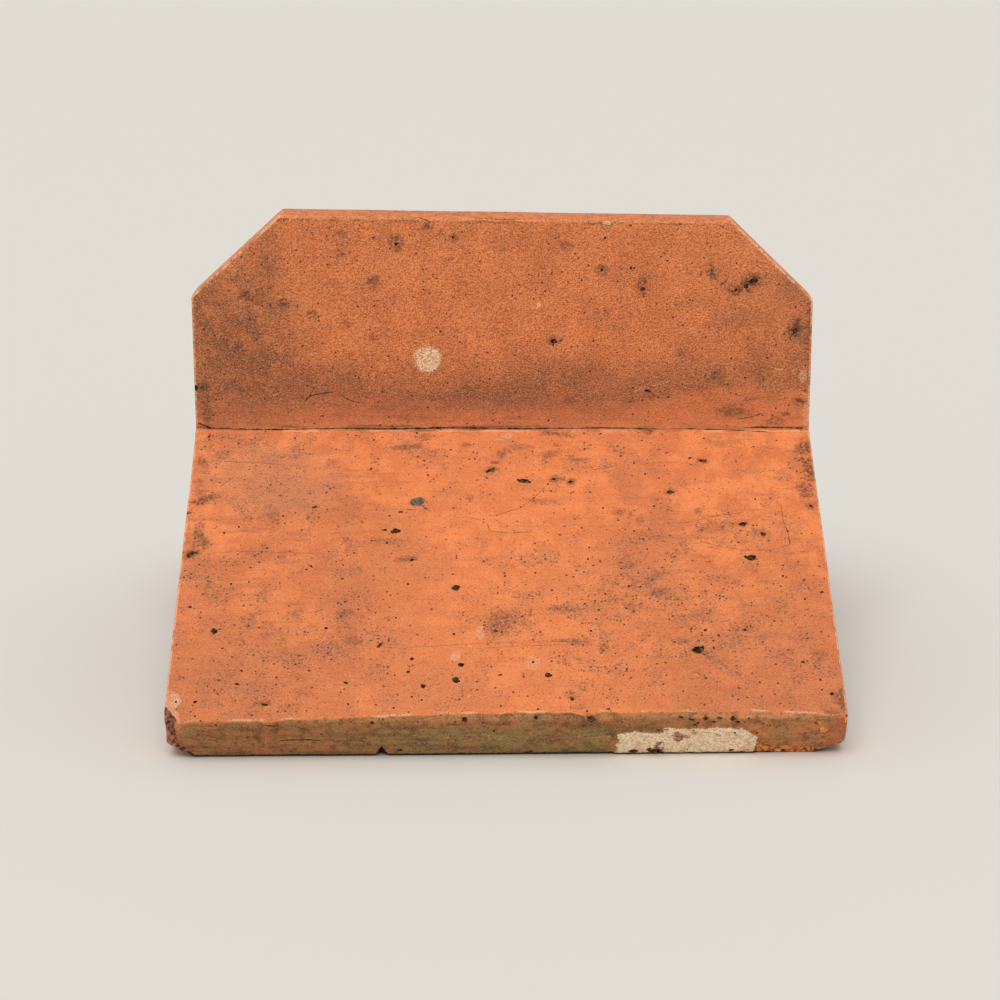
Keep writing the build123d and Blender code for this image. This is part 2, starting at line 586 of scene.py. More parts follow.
pitPlaces = {
    "crest": [
        (396, 244, 1.9, 1.5, 60), (453, 237, 1.4, 1.0, 0), (605, 238, 1.5, 1.1, 20),
        (631, 268, 1.5, 1.5, 0), (602, 270, 1.5, 1.3, 0), (556, 238, 1.0, 0.7, 0), (643, 289, 2.0, 1.6, 0),
        (712, 221, 1.7, 1.2, 0), (677, 219, 1.4, 1.0, 0), (736, 290, 1.6, 1.3, 0), (753, 281, 4.8, 2.8, 15),
        (746, 286, 2.6, 2.0, 30), (795, 331, 3.0, 2.2, 80), (554, 341, 2.6, 2.3, 0),
        (648, 391, 2.4, 1.5, -30), (196, 388, 2.0, 3.0, 0), (553, 345, 1.2, 1.0, 0),
        (462, 232, 0.9, 0.8, 0), (480, 262, 0.8, 0.8, 0), (300, 262, 0.9, 0.8, 0), (350, 252, 0.8, 0.7, 0),
        (520, 294, 0.8, 0.8, 0), (690, 300, 0.9, 0.8, 0), (776, 345, 0.9, 0.9, 0), (590, 371, 0.9, 0.9, 0),
        (370, 330, 0.8, 0.8, 0), (235, 352, 0.9, 0.9, 0), (412, 396, 0.9, 0.8, 0),
    ],
    "wing": [
        (191, 554, 5.2, 2.0, 40), (214, 631, 2.6, 3.6, 10), (224, 533, 1.3, 1.4, 0),
        (239, 527, 1.2, 1.3, 0), (283, 516, 1.3, 1.3, 0), (315, 507, 2.4, 1.2, 40), (401, 512, 2.6, 1.1, 0),
        (396, 531, 4.2, 3.4, 0), (385, 530, 1.6, 1.4, 0), (387, 543, 1.5, 1.3, 0), (231, 584, 1.3, 1.3, 0),
        (249, 582, 1.2, 1.2, 0), (190, 607, 1.2, 1.8, 60), (326, 628, 1.4, 1.6, 50),
        (380, 645, 3.4, 1.7, 50), (396, 618, 1.0, 1.0, 0), (311, 566, 1.2, 1.2, 0), (267, 548, 1.2, 1.2, 0),
        (209, 437, 1.5, 1.4, 0), (295, 438, 1.3, 1.2, 0), (374, 440, 1.3, 1.2, 0), (371, 469, 1.4, 1.3, 0),
        (456, 588, 3.5, 3.6, 0), (412, 560, 1.6, 1.5, 0), (408, 584, 1.3, 1.3, 0), (456, 680, 3.4, 3.4, 0),
        (461, 665, 2.6, 2.5, 20), (423, 686, 2.4, 2.4, 40), (265, 705, 3.0, 1.7, -10),
        (346, 683, 2.1, 1.3, -20), (491, 470, 4.5, 1.9, 20), (524, 481, 6.2, 2.7, -8),
        (475, 459, 1.3, 1.2, 0), (428, 475, 1.2, 1.2, 0), (417, 433, 1.3, 1.2, 0), (554, 479, 1.8, 1.6, 0),
        (570, 482, 1.8, 1.6, 0), (548, 484, 1.2, 1.1, 0), (551, 491, 1.1, 1.1, 0), (237, 684, 1.3, 1.9, 70),
        (670, 492, 3.0, 2.4, 0), (703, 461, 4.0, 2.2, -15), (690, 458, 1.8, 1.0, 10),
        (645, 474, 1.2, 1.2, 0), (621, 456, 1.3, 1.1, 0), (634, 463, 1.2, 1.1, 0), (654, 506, 1.3, 1.2, 0),
        (603, 508, 1.2, 1.1, 0), (743, 524, 3.2, 2.6, 20), (763, 534, 2.6, 2.6, 0),
        (751, 558, 4.8, 3.9, 15), (811, 506, 1.6, 1.6, 0), (783, 576, 1.4, 1.3, 0), (822, 592, 1.6, 1.3, 0),
        (698, 650, 5.2, 4.2, 0), (634, 531, 1.3, 1.2, 0), (755, 499, 1.3, 1.2, 0), (548, 675, 3.0, 2.8, 0),
        (533, 662, 1.3, 1.4, 0), (500, 675, 1.7, 1.0, 0), (559, 656, 1.3, 0.8, 0), (627, 669, 1.5, 1.0, 0),
        (572, 699, 1.9, 1.7, -40), (505, 576, 1.2, 1.1, 0), (552, 590, 1.2, 1.1, 0),
        (588, 559, 1.2, 1.2, 0), (591, 631, 1.3, 1.2, 0), (496, 631, 1.5, 2.0, 80), (454, 634, 1.4, 1.4, 0),
        (412, 659, 2.0, 1.6, 30), (408, 672, 1.8, 1.3, 10), (804, 580, 1.4, 1.2, 0),
        (805, 599, 1.3, 1.2, 0), (705, 630, 1.6, 1.2, 0), (745, 630, 2.0, 1.3, -10),
        (832, 694, 1.7, 1.6, 0), (822, 690, 1.3, 0.9, 0), (803, 662, 1.2, 1.8, 70), (195, 702, 1.7, 1.5, 0),
        (242, 671, 1.1, 1.1, 0), (348, 704, 1.3, 1.2, 0), (412, 697, 1.2, 1.2, 0), (422, 700, 1.1, 1.1, 0),
        (394, 708, 1.2, 1.0, 30), (501, 706, 1.0, 0.9, 0), (587, 711, 1.1, 1.0, 0), (609, 709, 1.1, 1.3, 0),
        (538, 709, 1.0, 1.0, 0),
    ],
    "foot": [
        (400, 750, 2.4, 1.2, 10), (372, 723, 1.6, 1.6, 0), (351, 740, 1.0, 0.9, 0),
        (465, 720, 2.2, 2.4, 50), (536, 717, 2.0, 2.0, 0), (591, 719, 3.0, 3.6, 60),
        (418, 722, 1.0, 0.9, 0), (494, 731, 0.9, 1.8, 0), (733, 719, 2.4, 2.0, 0),
        (695, 725, 2.6, 1.0, -10), (714, 722, 1.6, 0.9, 0), (195, 716, 1.1, 0.9, 0),
        (216, 725, 1.5, 1.0, 0), (757, 733, 1.0, 1.3, 0), (529, 752, 3.5, 1.6, 10), (731, 750, 2.0, 1.6, 0),
        (655, 751, 8.0, 2.6, 0), (633, 751, 4.0, 2.4, 0), (176, 702, 1.3, 1.3, 0), (681, 717, 2.0, 1.0, 0),
        (692, 720, 2.6, 1.1, -10), (698, 723, 1.6, 1.0, 0), (706, 718, 2.0, 1.4, 0),
        (720, 718, 2.4, 1.1, 0), (738, 722, 2.2, 1.6, 0), (735, 733, 1.4, 1.0, 0), (783, 751, 2.2, 1.4, 0),
        (816, 750, 2.4, 1.3, 0),
    ],
}
pinholes = {
    "perSquareMetre": 4300.0, "apart": 0.0055,     # in metres
    "smallest": 0.28, "largest": 0.62, "stretch": 1.25, "seed": 11,
}
# Depths and reaches are shares of a pit's length and width
pitShape = {
    "shallowFrom": 2.4, "smallDepth": 0.8, "largeDepth": 0.5, "lengthReach": 0.45, "widthReach": 0.55,
    "sink": 0.12, "ragged": 1.1, "raggedSize": 0.9,
}
# The lobes beside each larger pit: shares of its length and width, with turns in degrees
lobeShape = {
    "from": 1.6, "swing": 0.7, "apart": (0.30, 0.52), "length": (0.35, 0.62), "width": (0.45, 0.7),
    "turn": 50, "pixelsAcross": 2.1, "pixelsUp": 1.3, "seed": 7,
}


def addPointData(thing, name, kind, values):
    attribute = thing.data.attributes.new(name, kind, "POINT")
    key = "vector" if kind == "FLOAT_VECTOR" else "value"
    flat = [n for value in values for n in value] if kind == "FLOAT_VECTOR" else list(values)
    attribute.data.foreach_set(key, flat)


def cutterPoints(name, places):
    # a point for each place, which keeps the size and the turn of what cuts there
    points, sizes, turns = zip(*places)
    thing = meshObject(name, points)
    addPointData(thing, "pitSize", "FLOAT_VECTOR", sizes)
    addPointData(thing, "pitTurn", "FLOAT_VECTOR", turns)
    return thing


def pitPoints(name, places):
    pits = []
    for (place, normal), length, width, turn in places:
        share = pitShape["largeDepth" if length > pitShape["shallowFrom"] else "smallDepth"]
        depth = min(length, width) * share
        size = (length * pitShape["lengthReach"] * mm, width * pitShape["widthReach"] * mm, depth * mm)
        pits.append((place - normal * pitShape["sink"] * depth * mm, size,
                     tuple(surfaceTurn(normal, turn).to_euler())))
    return cutterPoints(name, pits)


def placedPits(name, places):
    return pitPoints(name, [(onTile(px, py), length, width, turn) for px, py, length, width, turn in places])


# Widths are shares of the length, and the higher the power, the fewer the large ones
rearPits = {"count": 40, "across": 142.0, "lowest": 178.0, "highest": 62.0, "smallest": 1.0, "largest": 4.2,
            "power": 4, "width": (0.45, 0.9), "turn": 90, "seed": 9}


def hiddenPits(name):
    # the rear, which the photograph hides, has its pits at random
    chance = Random(rearPits["seed"])
    pits = []
    for i in range(rearPits["count"]):
        place = Vector((chance.uniform(-1, 1) * rearPits["across"], form["halfCrest"], form["rootZ"]))
        run = chance.uniform(-rearPits["highest"], rearPits["lowest"])
        place += Vector((0, 0, -run)) if run < 0 else Vector((0, -down.y, down.z)) * run
        place = roughTree.find_nearest(place * mm)[0]
        luck = chance.random() ** rearPits["power"]
        length = rearPits["smallest"] + (rearPits["largest"] - rearPits["smallest"]) * luck
        width = length * chance.uniform(*rearPits["width"])
        turn = chance.uniform(-rearPits["turn"], rearPits["turn"])
        pits.append(((place, smoothTree.find_nearest(place)[1]), length, width, turn))
    return pitPoints(name, pits)


def raggedBalls(points, facets, shape, surface):
    # one rough ball on each point, sized and turned by the point's own values
    bench = newGeometryTree("raggedBalls", {
        "Ragged": shape["ragged"], "Ragged Size": shape["raggedSize"], "Surface": surface})
    given = bench.start()
    size = bench.named("pitSize", "FLOAT_VECTOR")
    turn = bench.put("FunctionNodeEulerToRotation", {0: bench.named("pitTurn", "FLOAT_VECTOR")}).outputs[0]
    spread = bench.put("GeometryNodeMeshToPoints", {"Mesh": given["Geometry"]}).outputs[0]
    balls = bench.put("GeometryNodeInstanceOnPoints", {
        "Points": spread, "Instance": bench.ball(facets), "Rotation": turn, "Scale": size})
    length, width, depth = bench.split(size)
    push = bench.stray(bench.scaled(bench.position(), 1 / mm), given["Ragged Size"])
    push = bench.scaled(push, bench.times(given["Ragged"], bench.math("MINIMUM", length, width)))
    bench.finish(bench.moved(bench.realized(balls.outputs[0]), push), given["Surface"])
    return giveSurface(runTree(points, bench), surface)


def mostlySmall(bench, given, luck, power):
    # a radius between the smallest and the largest, with few large ones
    span = bench.minus(given["Largest"], given["Smallest"])
    return bench.timesPlus(bench.math("POWER", luck, power), span, given["Smallest"])


def scatterPinholes(tile):
    # tiny random holes over every face, closer together in some places than in others
    bench = newGeometryTree("scatterPinholes", {
        "Density": pinholes["perSquareMetre"], "Apart": pinholes["apart"],
        "Smallest": pinholes["smallest"] * mm, "Largest": pinholes["largest"] * mm,
        "Seed": pinholes["seed"], "Surface": pitSoot})
    given = bench.start()
    patchy = bench.noise(bench.scaled(bench.position(), 1 / mm), 30.0, 2.0, 0.5, seed=8)
    spread = bench.put("GeometryNodeDistributePointsOnFaces", {
        "Mesh": given["Geometry"], "Distance Min": given["Apart"], "Density Max": given["Density"],
        "Density Factor": bench.band(patchy, 0.35, 0.65, 0.25, 1.0), "Seed": given["Seed"]},
        distribute_method="POISSON")
    luck = bench.put("FunctionNodeRandomValue", {2: 0.0, 3: 1.0, "Seed": 5}, data_type="FLOAT").outputs[1]
    radius = mostlySmall(bench, given, luck, 3.0)
    balls = bench.put("GeometryNodeInstanceOnPoints", {
        "Points": spread.outputs["Points"], "Instance": bench.ball(1), "Rotation": spread.outputs["Rotation"],
        "Scale": bench.join(bench.times(radius, pinholes["stretch"]), radius, radius)})
    bench.finish(balls.outputs[0], given["Surface"])
    holes = bpy.data.objects.new("pinholes", tile.data.copy())
    bpy.context.scene.collection.objects.link(holes)
    return giveSurface(runTree(holes, bench), pitSoot)


# Cracks, hairlines and the open joint under the crest: pixels along each, and width in millimetres

crackLines = {
    "jointLeft": ([(202, 428), (240, 429), (275, 429.5), (312, 429)], 0.95),
    "jointMiddle": ([(310, 428.5), (380, 429), (450, 428), (500, 428.5)], 1.05),
    "jointMiddleThin": ([(490, 428.5), (530, 428.5), (600, 428), (668, 429)], 0.65),
    "jointRight": ([(664, 428.5), (720, 429.5), (775, 432.5)], 0.7),
    "jointRightUpper": ([(744, 427.5), (775, 427.5), (801, 428), (811, 436)], 0.75),
    "jointCorner": ([(198, 423), (206, 426), (213, 429)], 0.9),
    "topLeft": ([(212, 461), (262, 463), (310, 467)], 0.26),
    "middleShort": ([(332, 508), (340, 511)], 0.35),
    "middleLow": ([(452, 518), (468, 517), (484, 521)], 0.26),
    "middleRise": ([(486, 517), (500, 514), (520, 508), (534, 498), (545, 487)], 0.28),
    "middleFall": ([(486, 521), (490, 531), (510, 533), (535, 532)], 0.26),
    "upperRight": ([(590, 470), (605, 468), (620, 465)], 0.3),
    "rightEdge": ([(781, 504), (783, 520), (788, 533), (790, 544), (776, 549), (764, 551)], 0.32),
    "crestLeft": ([(305, 402), (308, 397), (318, 394), (333, 392)], 0.7),
    "crestMiddle": ([(340, 394), (347, 399), (355, 402), (368, 403)], 0.6),
    "topEdge": ([(418, 217.5), (424, 219), (430, 222)], 0.5),
    "topEdgeRight": ([(470, 218), (500, 219.5), (540, 219)], 0.35),
    "crestLow": ([(738, 419), (752, 417), (762, 413)], 0.45),
    "crossLeft": ([(220, 487), (232, 478)], 0.25),
    "middleHair": ([(663, 523), (690, 522), (715, 516), (745, 512)], 0.22),
    "middleHairLow": ([(700, 541), (722, 547), (742, 550), (768, 550)], 0.3),
    "crestFold": ([(596, 400), (612, 397), (628, 393)], 0.3),
    "footUpperLeft": ([(259, 723.5), (266, 725.5), (272, 726.3), (280, 726)], 0.75),
    "footUpper": ([(285, 725.5), (298, 727.5), (304, 729), (312, 730)], 0.4),
    "footLeft": ([(278, 741), (290, 740), (300, 739.6), (311, 740), (321, 741)], 0.8),
    "footLeftDotted": ([(326, 740), (338, 741), (352, 740.5), (366, 741.5)], 0.4),
    "footFaint": ([(194, 733), (207, 735), (223, 740)], 0.35),
    "foldRight": ([(700, 732), (712, 733), (722, 736)], 0.3),
    "footMiddle": ([(446, 724), (458, 725), (462, 722)], 0.5),
    "footMiddleShort": ([(480, 722), (490, 724)], 0.4),
    "nickHairline": ([(381, 743), (381.5, 737)], 0.4),
    "longDrag": ([(402, 648), (450, 645), (500, 642.5), (560, 641.5), (598, 641)], 0.2),
    "longDragLow": ([(470, 649), (520, 646), (575, 644)], 0.16),
    "leftHair": ([(212, 553), (250, 551), (290, 553), (322, 553)], 0.2),
}
crackShape = {
    "step": 1.1, "wander": 0.55, "wanderSize": 3.2, "unevenSize": 2.2,
    "narrowest": 0.35, "widest": 1.35, "taper": 0.12, "tip": 0.25, "sides": 6,
}


def crackTubes(tile):
    points, edges, widths = [], [], []
    for pixels, width in crackLines.values():
        first = len(points)
        points += [onTile(px, py)[0] for px, py in pixels]
        widths += [width] * len(pixels)
        edges += [(i, i + 1) for i in range(first, len(points) - 1)]
    thing = meshObject("cracks", points, edges=edges)
    addPointData(thing, "crackWidth", "FLOAT", widths)

    shape = crackShape
    bench = newGeometryTree("crackTubes", {
        "Step": shape["step"] * mm, "Wander": shape["wander"] * mm, "Wander Size": shape["wanderSize"],
        "Uneven Size": shape["unevenSize"], "Body": tile, "Surface": pitSoot})
    given = bench.start()
    curve = bench.put("GeometryNodeMeshToCurve", {"Mesh": given["Geometry"]}).outputs[0]
    fine = bench.put("GeometryNodeResampleCurve", {"Curve": curve, "Length": given["Step"]}, mode="LENGTH")
    position = bench.position()
    place = bench.scaled(position, 1 / mm)
    stray = bench.scaled(bench.stray(place, given["Wander Size"], 3.0, 0.6), given["Wander"])
    nearest = bench.put("GeometryNodeProximity", {
        "Geometry": bench.shapeOf(given["Body"]), "Sample Position": bench.vector("ADD", position, stray)},
        target_element="FACES").outputs["Position"]
    laid = bench.put("GeometryNodeSetPosition", {"Geometry": fine.outputs[0], "Position": nearest}).outputs[0]
    uneven = bench.noise(place, given["Uneven Size"])
    share = bench.band(uneven, 0.3, 0.7, shape["narrowest"], shape["widest"])
    end = bench.put("GeometryNodeSplineParameter").outputs["Factor"]
    taper = bench.times(bench.band(end, 0.0, shape["taper"], shape["tip"], 1.0),
                        bench.band(end, 1.0, 1.0 - shape["taper"], shape["tip"], 1.0))
    radius = bench.times(bench.times(bench.named("crackWidth", "FLOAT"), share), bench.times(taper, mm / 2))
    ring = bench.put("GeometryNodeCurvePrimitiveCircle", {"Resolution": shape["sides"], "Radius": 1.0})
    tube = bench.put("GeometryNodeCurveToMesh", {"Curve": laid, "Profile Curve": ring.outputs[0],
                                                 "Scale": radius, "Fill Caps": True})
    bench.finish(tube.outputs[0], given["Surface"])
    return giveSurface(runTree(thing, bench), pitSoot)


# Broken and chipped places: pixel, length and width and depth in millimetres, turn in degrees

breakPlaces = [
    (164.5, 731, 11.0, 26.0, 5.5, 0), (164, 716, 7.0, 9.0, 3.0, 20), (171, 743.5, 9.0, 7.0, 3.0, -35),
    (166, 722, 9.0, 10.0, 4.0, 0), (177, 747, 11.0, 4.6, 1.5, -32), (186, 752.5, 9.0, 2.6, 0.8, -28),
    (188, 513, 2.0, 5.0, 0.9, 80),
]
freshPlaces = [
    (847, 719, 4.0, 5.0, 1.1, 0), (818, 723, 5.0, 2.6, 0.7, -40), (824, 729, 4.5, 4.5, 0.6, 20),
    (842, 742, 6.0, 9.0, 1.6, 40), (800, 749.5, 16.0, 4.4, 0.7, 0), (763, 747.5, 7.5, 6.5, 1.3, 0),
    (780, 749, 12.0, 4.4, 0.7, 0),
]
breakShape = {"ragged": 0.8, "raggedSize": 1.7}


def joinOverlaps(thing, surface):
    bench = newGeometryTree("joinOverlaps", {"Surface": surface})
    given = bench.start()
    joined = bench.put("GeometryNodeMeshBoolean", operation="UNION", solver="EXACT")
    setSocket(bench.tree, joined.inputs["Mesh 2"], given["Geometry"])
    joined.inputs["Self Intersection"].default_value = True
    bench.finish(joined.outputs["Mesh"], given["Surface"])
    return giveSurface(runTree(thing, bench), surface)


def placedChips(name, places):
    chips = []
    for px, py, length, width, depth, turn in places:
        place, normal = onTile(px, py)
        chips.append((place, (length / 2 * mm, width / 2 * mm, depth * mm),
                      tuple(surfaceTurn(normal, turn).to_euler())))
    return cutterPoints(name, chips)


# Wear along every arris

arrisWear = {"step": 3.4, "smallest": 0.3, "largest": 0.8, "stretch": 1.5, "share": 0.34, "seeds": (23, 41),
             "ragged": 0.5, "raggedSize": 1.0}


def arrisLines():
    # the tile's arrises as plain lines: its long edges, and the outline of each end
    half = form["halfLength"]
    top = form["topZ"]
    wing = [crease, footTop, standing, Vector((0, 0, form["hollowZ"]))]
    points, edges = [], []

    def line(*corners):
        first = len(points)
        for x, y, z in corners:
            lean = -x / half
            lift = lean * form["leftLift"] * z / form["rootZ"]
            reach = lean * form["leftReach"] * y / -footTop.y
            points.append(Vector((x, y - reach, z + lift)) * mm)
        edges.extend((i, i + 1) for i in range(first, len(points) - 1))

    for side in (-1, 1):
        runLeft, dropLeft = form["clipLeft"]
        runRight, dropRight = form["clipRight"]
        y = side * form["halfCrest"]
        fall = form["topFall"]
        line((-half, y, form["rootZ"]), (-half, y, top + fall - dropLeft), (-half + runLeft, y, top + fall),
             (half - runRight, y, top - fall), (half, y, top - fall - dropRight), (half, y, form["rootZ"]))
        for corner in (footTop, standing):
            line((-half, side * corner.y, corner.z), (half, side * corner.y, corner.z))
        for end in (-half, half):
            line(*[(end, side * c.y, c.z) for c in wing])
    return meshObject("arrisLines", points, edges=edges)


def chipArrises(lines, seed):
    bench = newGeometryTree("chipArrises", {
        "Step": arrisWear["step"] * mm, "Smallest": arrisWear["smallest"] * mm,
        "Largest": arrisWear["largest"] * mm, "Share": arrisWear["share"], "Seed": seed,
        "Ragged": arrisWear["ragged"], "Ragged Size": arrisWear["raggedSize"], "Surface": clay})
    given = bench.start()
    curve = bench.put("GeometryNodeMeshToCurve", {"Mesh": given["Geometry"]}).outputs[0]
    spaced = bench.put("GeometryNodeResampleCurve", {"Curve": curve, "Length": given["Step"]}, mode="LENGTH")
    points = bench.put("GeometryNodeCurveToPoints", {"Curve": spaced.outputs[0]}, mode="EVALUATED")
    chance = bench.put("FunctionNodeRandomValue", {"Probability": given["Share"], "Seed": given["Seed"]},
                       data_type="BOOLEAN").outputs[3]
    luck = bench.put("FunctionNodeRandomValue", {2: 0.0, 3: 1.0, "Seed": given["Seed"]}, data_type="FLOAT")
    radius = mostlySmall(bench, given, luck.outputs[1], 5.0)
    spin = bench.put("FunctionNodeRandomValue", {0: (0.0, 0.0, 0.0), 1: (6.28, 6.28, 6.28)},
                     data_type="FLOAT_VECTOR").outputs[0]
    turn = bench.put("FunctionNodeEulerToRotation", {0: spin}).outputs[0]
    balls = bench.put("GeometryNodeInstanceOnPoints", {
        "Points": points.outputs[0], "Selection": chance, "Instance": bench.ball(2), "Rotation": turn,
        "Scale": bench.join(bench.times(radius, arrisWear["stretch"]), radius, radius)})
    push = bench.stray(bench.scaled(bench.position(), 1 / mm), given["Ragged Size"])
    push = bench.scaled(push, bench.times(given["Ragged"], mm * 2))
    bench.finish(bench.moved(bench.realized(balls.outputs[0]), push), given["Surface"])
    return giveSurface(runTree(lines, bench), clay)


# Cuts everything out of the tile

def cutAway(tile, cutter):
    bench = newGeometryTree("cutAway", {"Cutter": cutter, "Surface": clay})
    given = bench.start()
    cut = bench.put("GeometryNodeMeshBoolean", operation="DIFFERENCE", solver="MANIFOLD")
    setSocket(bench.tree, cut.inputs["Mesh 1"], given["Geometry"])
    setSocket(bench.tree, cut.inputs["Mesh 2"], bench.shapeOf(given["Cutter"]))
    bench.finish(cut.outputs["Mesh"], given["Surface"], keepOthers=True)
    before = len(tile.data.polygons)
    runTree(tile, bench)
    print("cut", cutter.name, ":", before, "to", len(tile.data.polygons), "faces")
    bpy.data.objects.remove(cutter)


def dropCrumbs(tile, fewestPoints=2000):
    # removes any hole that closed up inside the clay, so that one body is left
    bench = newGeometryTree("dropCrumbs", {"Fewest": fewestPoints, "Surface": clay})
    given = bench.start()
    island = bench.put("GeometryNodeInputMeshIsland").outputs["Island Index"]
    count = bench.put("GeometryNodeAccumulateField", {"Group ID": island}, data_type="INT").outputs["Total"]
    crumb = bench.math("LESS_THAN", count, given["Fewest"])
    body = bench.put("GeometryNodeDeleteGeometry", {"Geometry": given["Geometry"], "Selection": crumb})
    bench.finish(body.outputs[0], given["Surface"], keepOthers=True)
    return runTree(tile, bench)


def sideLobes(places, side):
    # a smaller lobe beside each pit, to break up its outline
    shape = lobeShape
    lobes = []
    draw = Random(shape["seed"] + side)
    for px, py, length, width, turn in places:
        away = radians(turn) + draw.uniform(-shape["swing"], shape["swing"]) + (0 if side > 0 else pi)
        share = draw.uniform(*shape["apart"])
        lobes.append((px + cos(away) * length * share * shape["pixelsAcross"],
                      py - sin(away) * length * share * shape["pixelsUp"],
                      length * draw.uniform(*shape["length"]), width * draw.uniform(*shape["width"]),
                      turn + draw.uniform(-shape["turn"], shape["turn"])))
    return lobes


cutters = []
for name, places in pitPlaces.items():
    small = [pit for pit in places if max(pit[2], pit[3]) < lobeShape["from"]]
    large = [pit for pit in places if max(pit[2], pit[3]) >= lobeShape["from"]]
    for kind, group, facets in (("Small", small, 2), ("Large", large, 3), ("Left", sideLobes(large, -1), 2),
                                ("Right", sideLobes(large, 1), 2)):
        cutters.append(raggedBalls(placedPits(name + kind + "Pits", group), facets, pitShape, pitSoot))
cutters.append(raggedBalls(hiddenPits("rearPits"), 2, pitShape, pitSoot))
cutters.append(scatterPinholes(ridgeTile))
cutters.append(crackTubes(ridgeTile))
for name, places, surface in (("cornerBreaks", breakPlaces, brokenClay),
                              ("freshChips", freshPlaces, freshClay)):
    chips = raggedBalls(placedChips(name, places), 4, breakShape, surface)
    cutters.append(joinOverlaps(chips, surface))
for seed in arrisWear["seeds"]:
    cutters.append(chipArrises(arrisLines(), seed))
for cutter in cutters:
    cutAway(ridgeTile, cutter)
dropCrumbs(ridgeTile)
print("tile cut")


# Marks on the surface: pixel, width and height in millimetres, turn in degrees, strength

smokyPlaces = [
    (638, 581, 40, 34, 0, 1.0), (610, 600, 50, 30, 0, 0.9), (590, 650, 60, 30, 0, 0.6),
    (680, 600, 40, 40, 0, 0.7), (340, 640, 50, 40, 0, 0.6), (512, 626, 24, 26, 10, 0.8),
    (470, 612, 14, 14, 0, 0.6), (350, 620, 34, 26, 20, 0.6), (700, 640, 60, 44, 0, 0.8),
    (540, 595, 30, 20, 0, 0.6), (240, 450, 56, 18, 0, 0.9), (300, 454, 36, 12, 0, 0.7),
    (280, 500, 60, 40, 0, 0.5), (560, 560, 60, 20, 0, 0.4), (718, 530, 26, 20, 0, 0.7),
    (660, 545, 50, 26, 10, 0.5), (230, 590, 40, 50, 0, 0.5), (760, 610, 44, 60, 0, 0.6),
    (610, 640, 22, 8, 0, 0.7), (420, 449, 26, 9, 0, 0.8), (270, 670, 60, 50, 0, 0.6),
    (330, 560, 40, 30, 0, 0.45), (800, 660, 30, 40, 0, 0.6), (600, 690, 60, 14, 0, 0.5),
    (840, 700, 12, 24, 0, 0.9), (200, 540, 14, 40, 0, 0.6), (600, 458, 60, 14, 0, 0.5),
    (440, 690, 40, 20, 0, 0.4),
]
crestStains = [
    (498, 395, 60, 12, 0, 0.9), (560, 378, 44, 16, 0, 0.8), (738, 410, 18, 9, 0, 0.9),
    (775, 420, 14, 5, 0, 0.7), (235, 350, 60, 80, 0, 0.95), (215, 320, 40, 60, 0, 0.7),
    (770, 340, 50, 70, 0, 0.4), (300, 385, 70, 26, 0, 0.7), (790, 330, 20, 60, 0, 0.5),
    (660, 405, 60, 14, 0, 0.7), (792, 282, 10, 16, 40, 0.8), (203, 360, 8, 90, 0, 0.9),
    (400, 400, 70, 14, 0, 0.7), (262, 267, 18, 16, 0, 0.7), (700, 385, 60, 30, 0, 0.5),
    (600, 400, 60, 24, 0, 0.5), (262, 240, 20, 14, 45, 0.5),
]
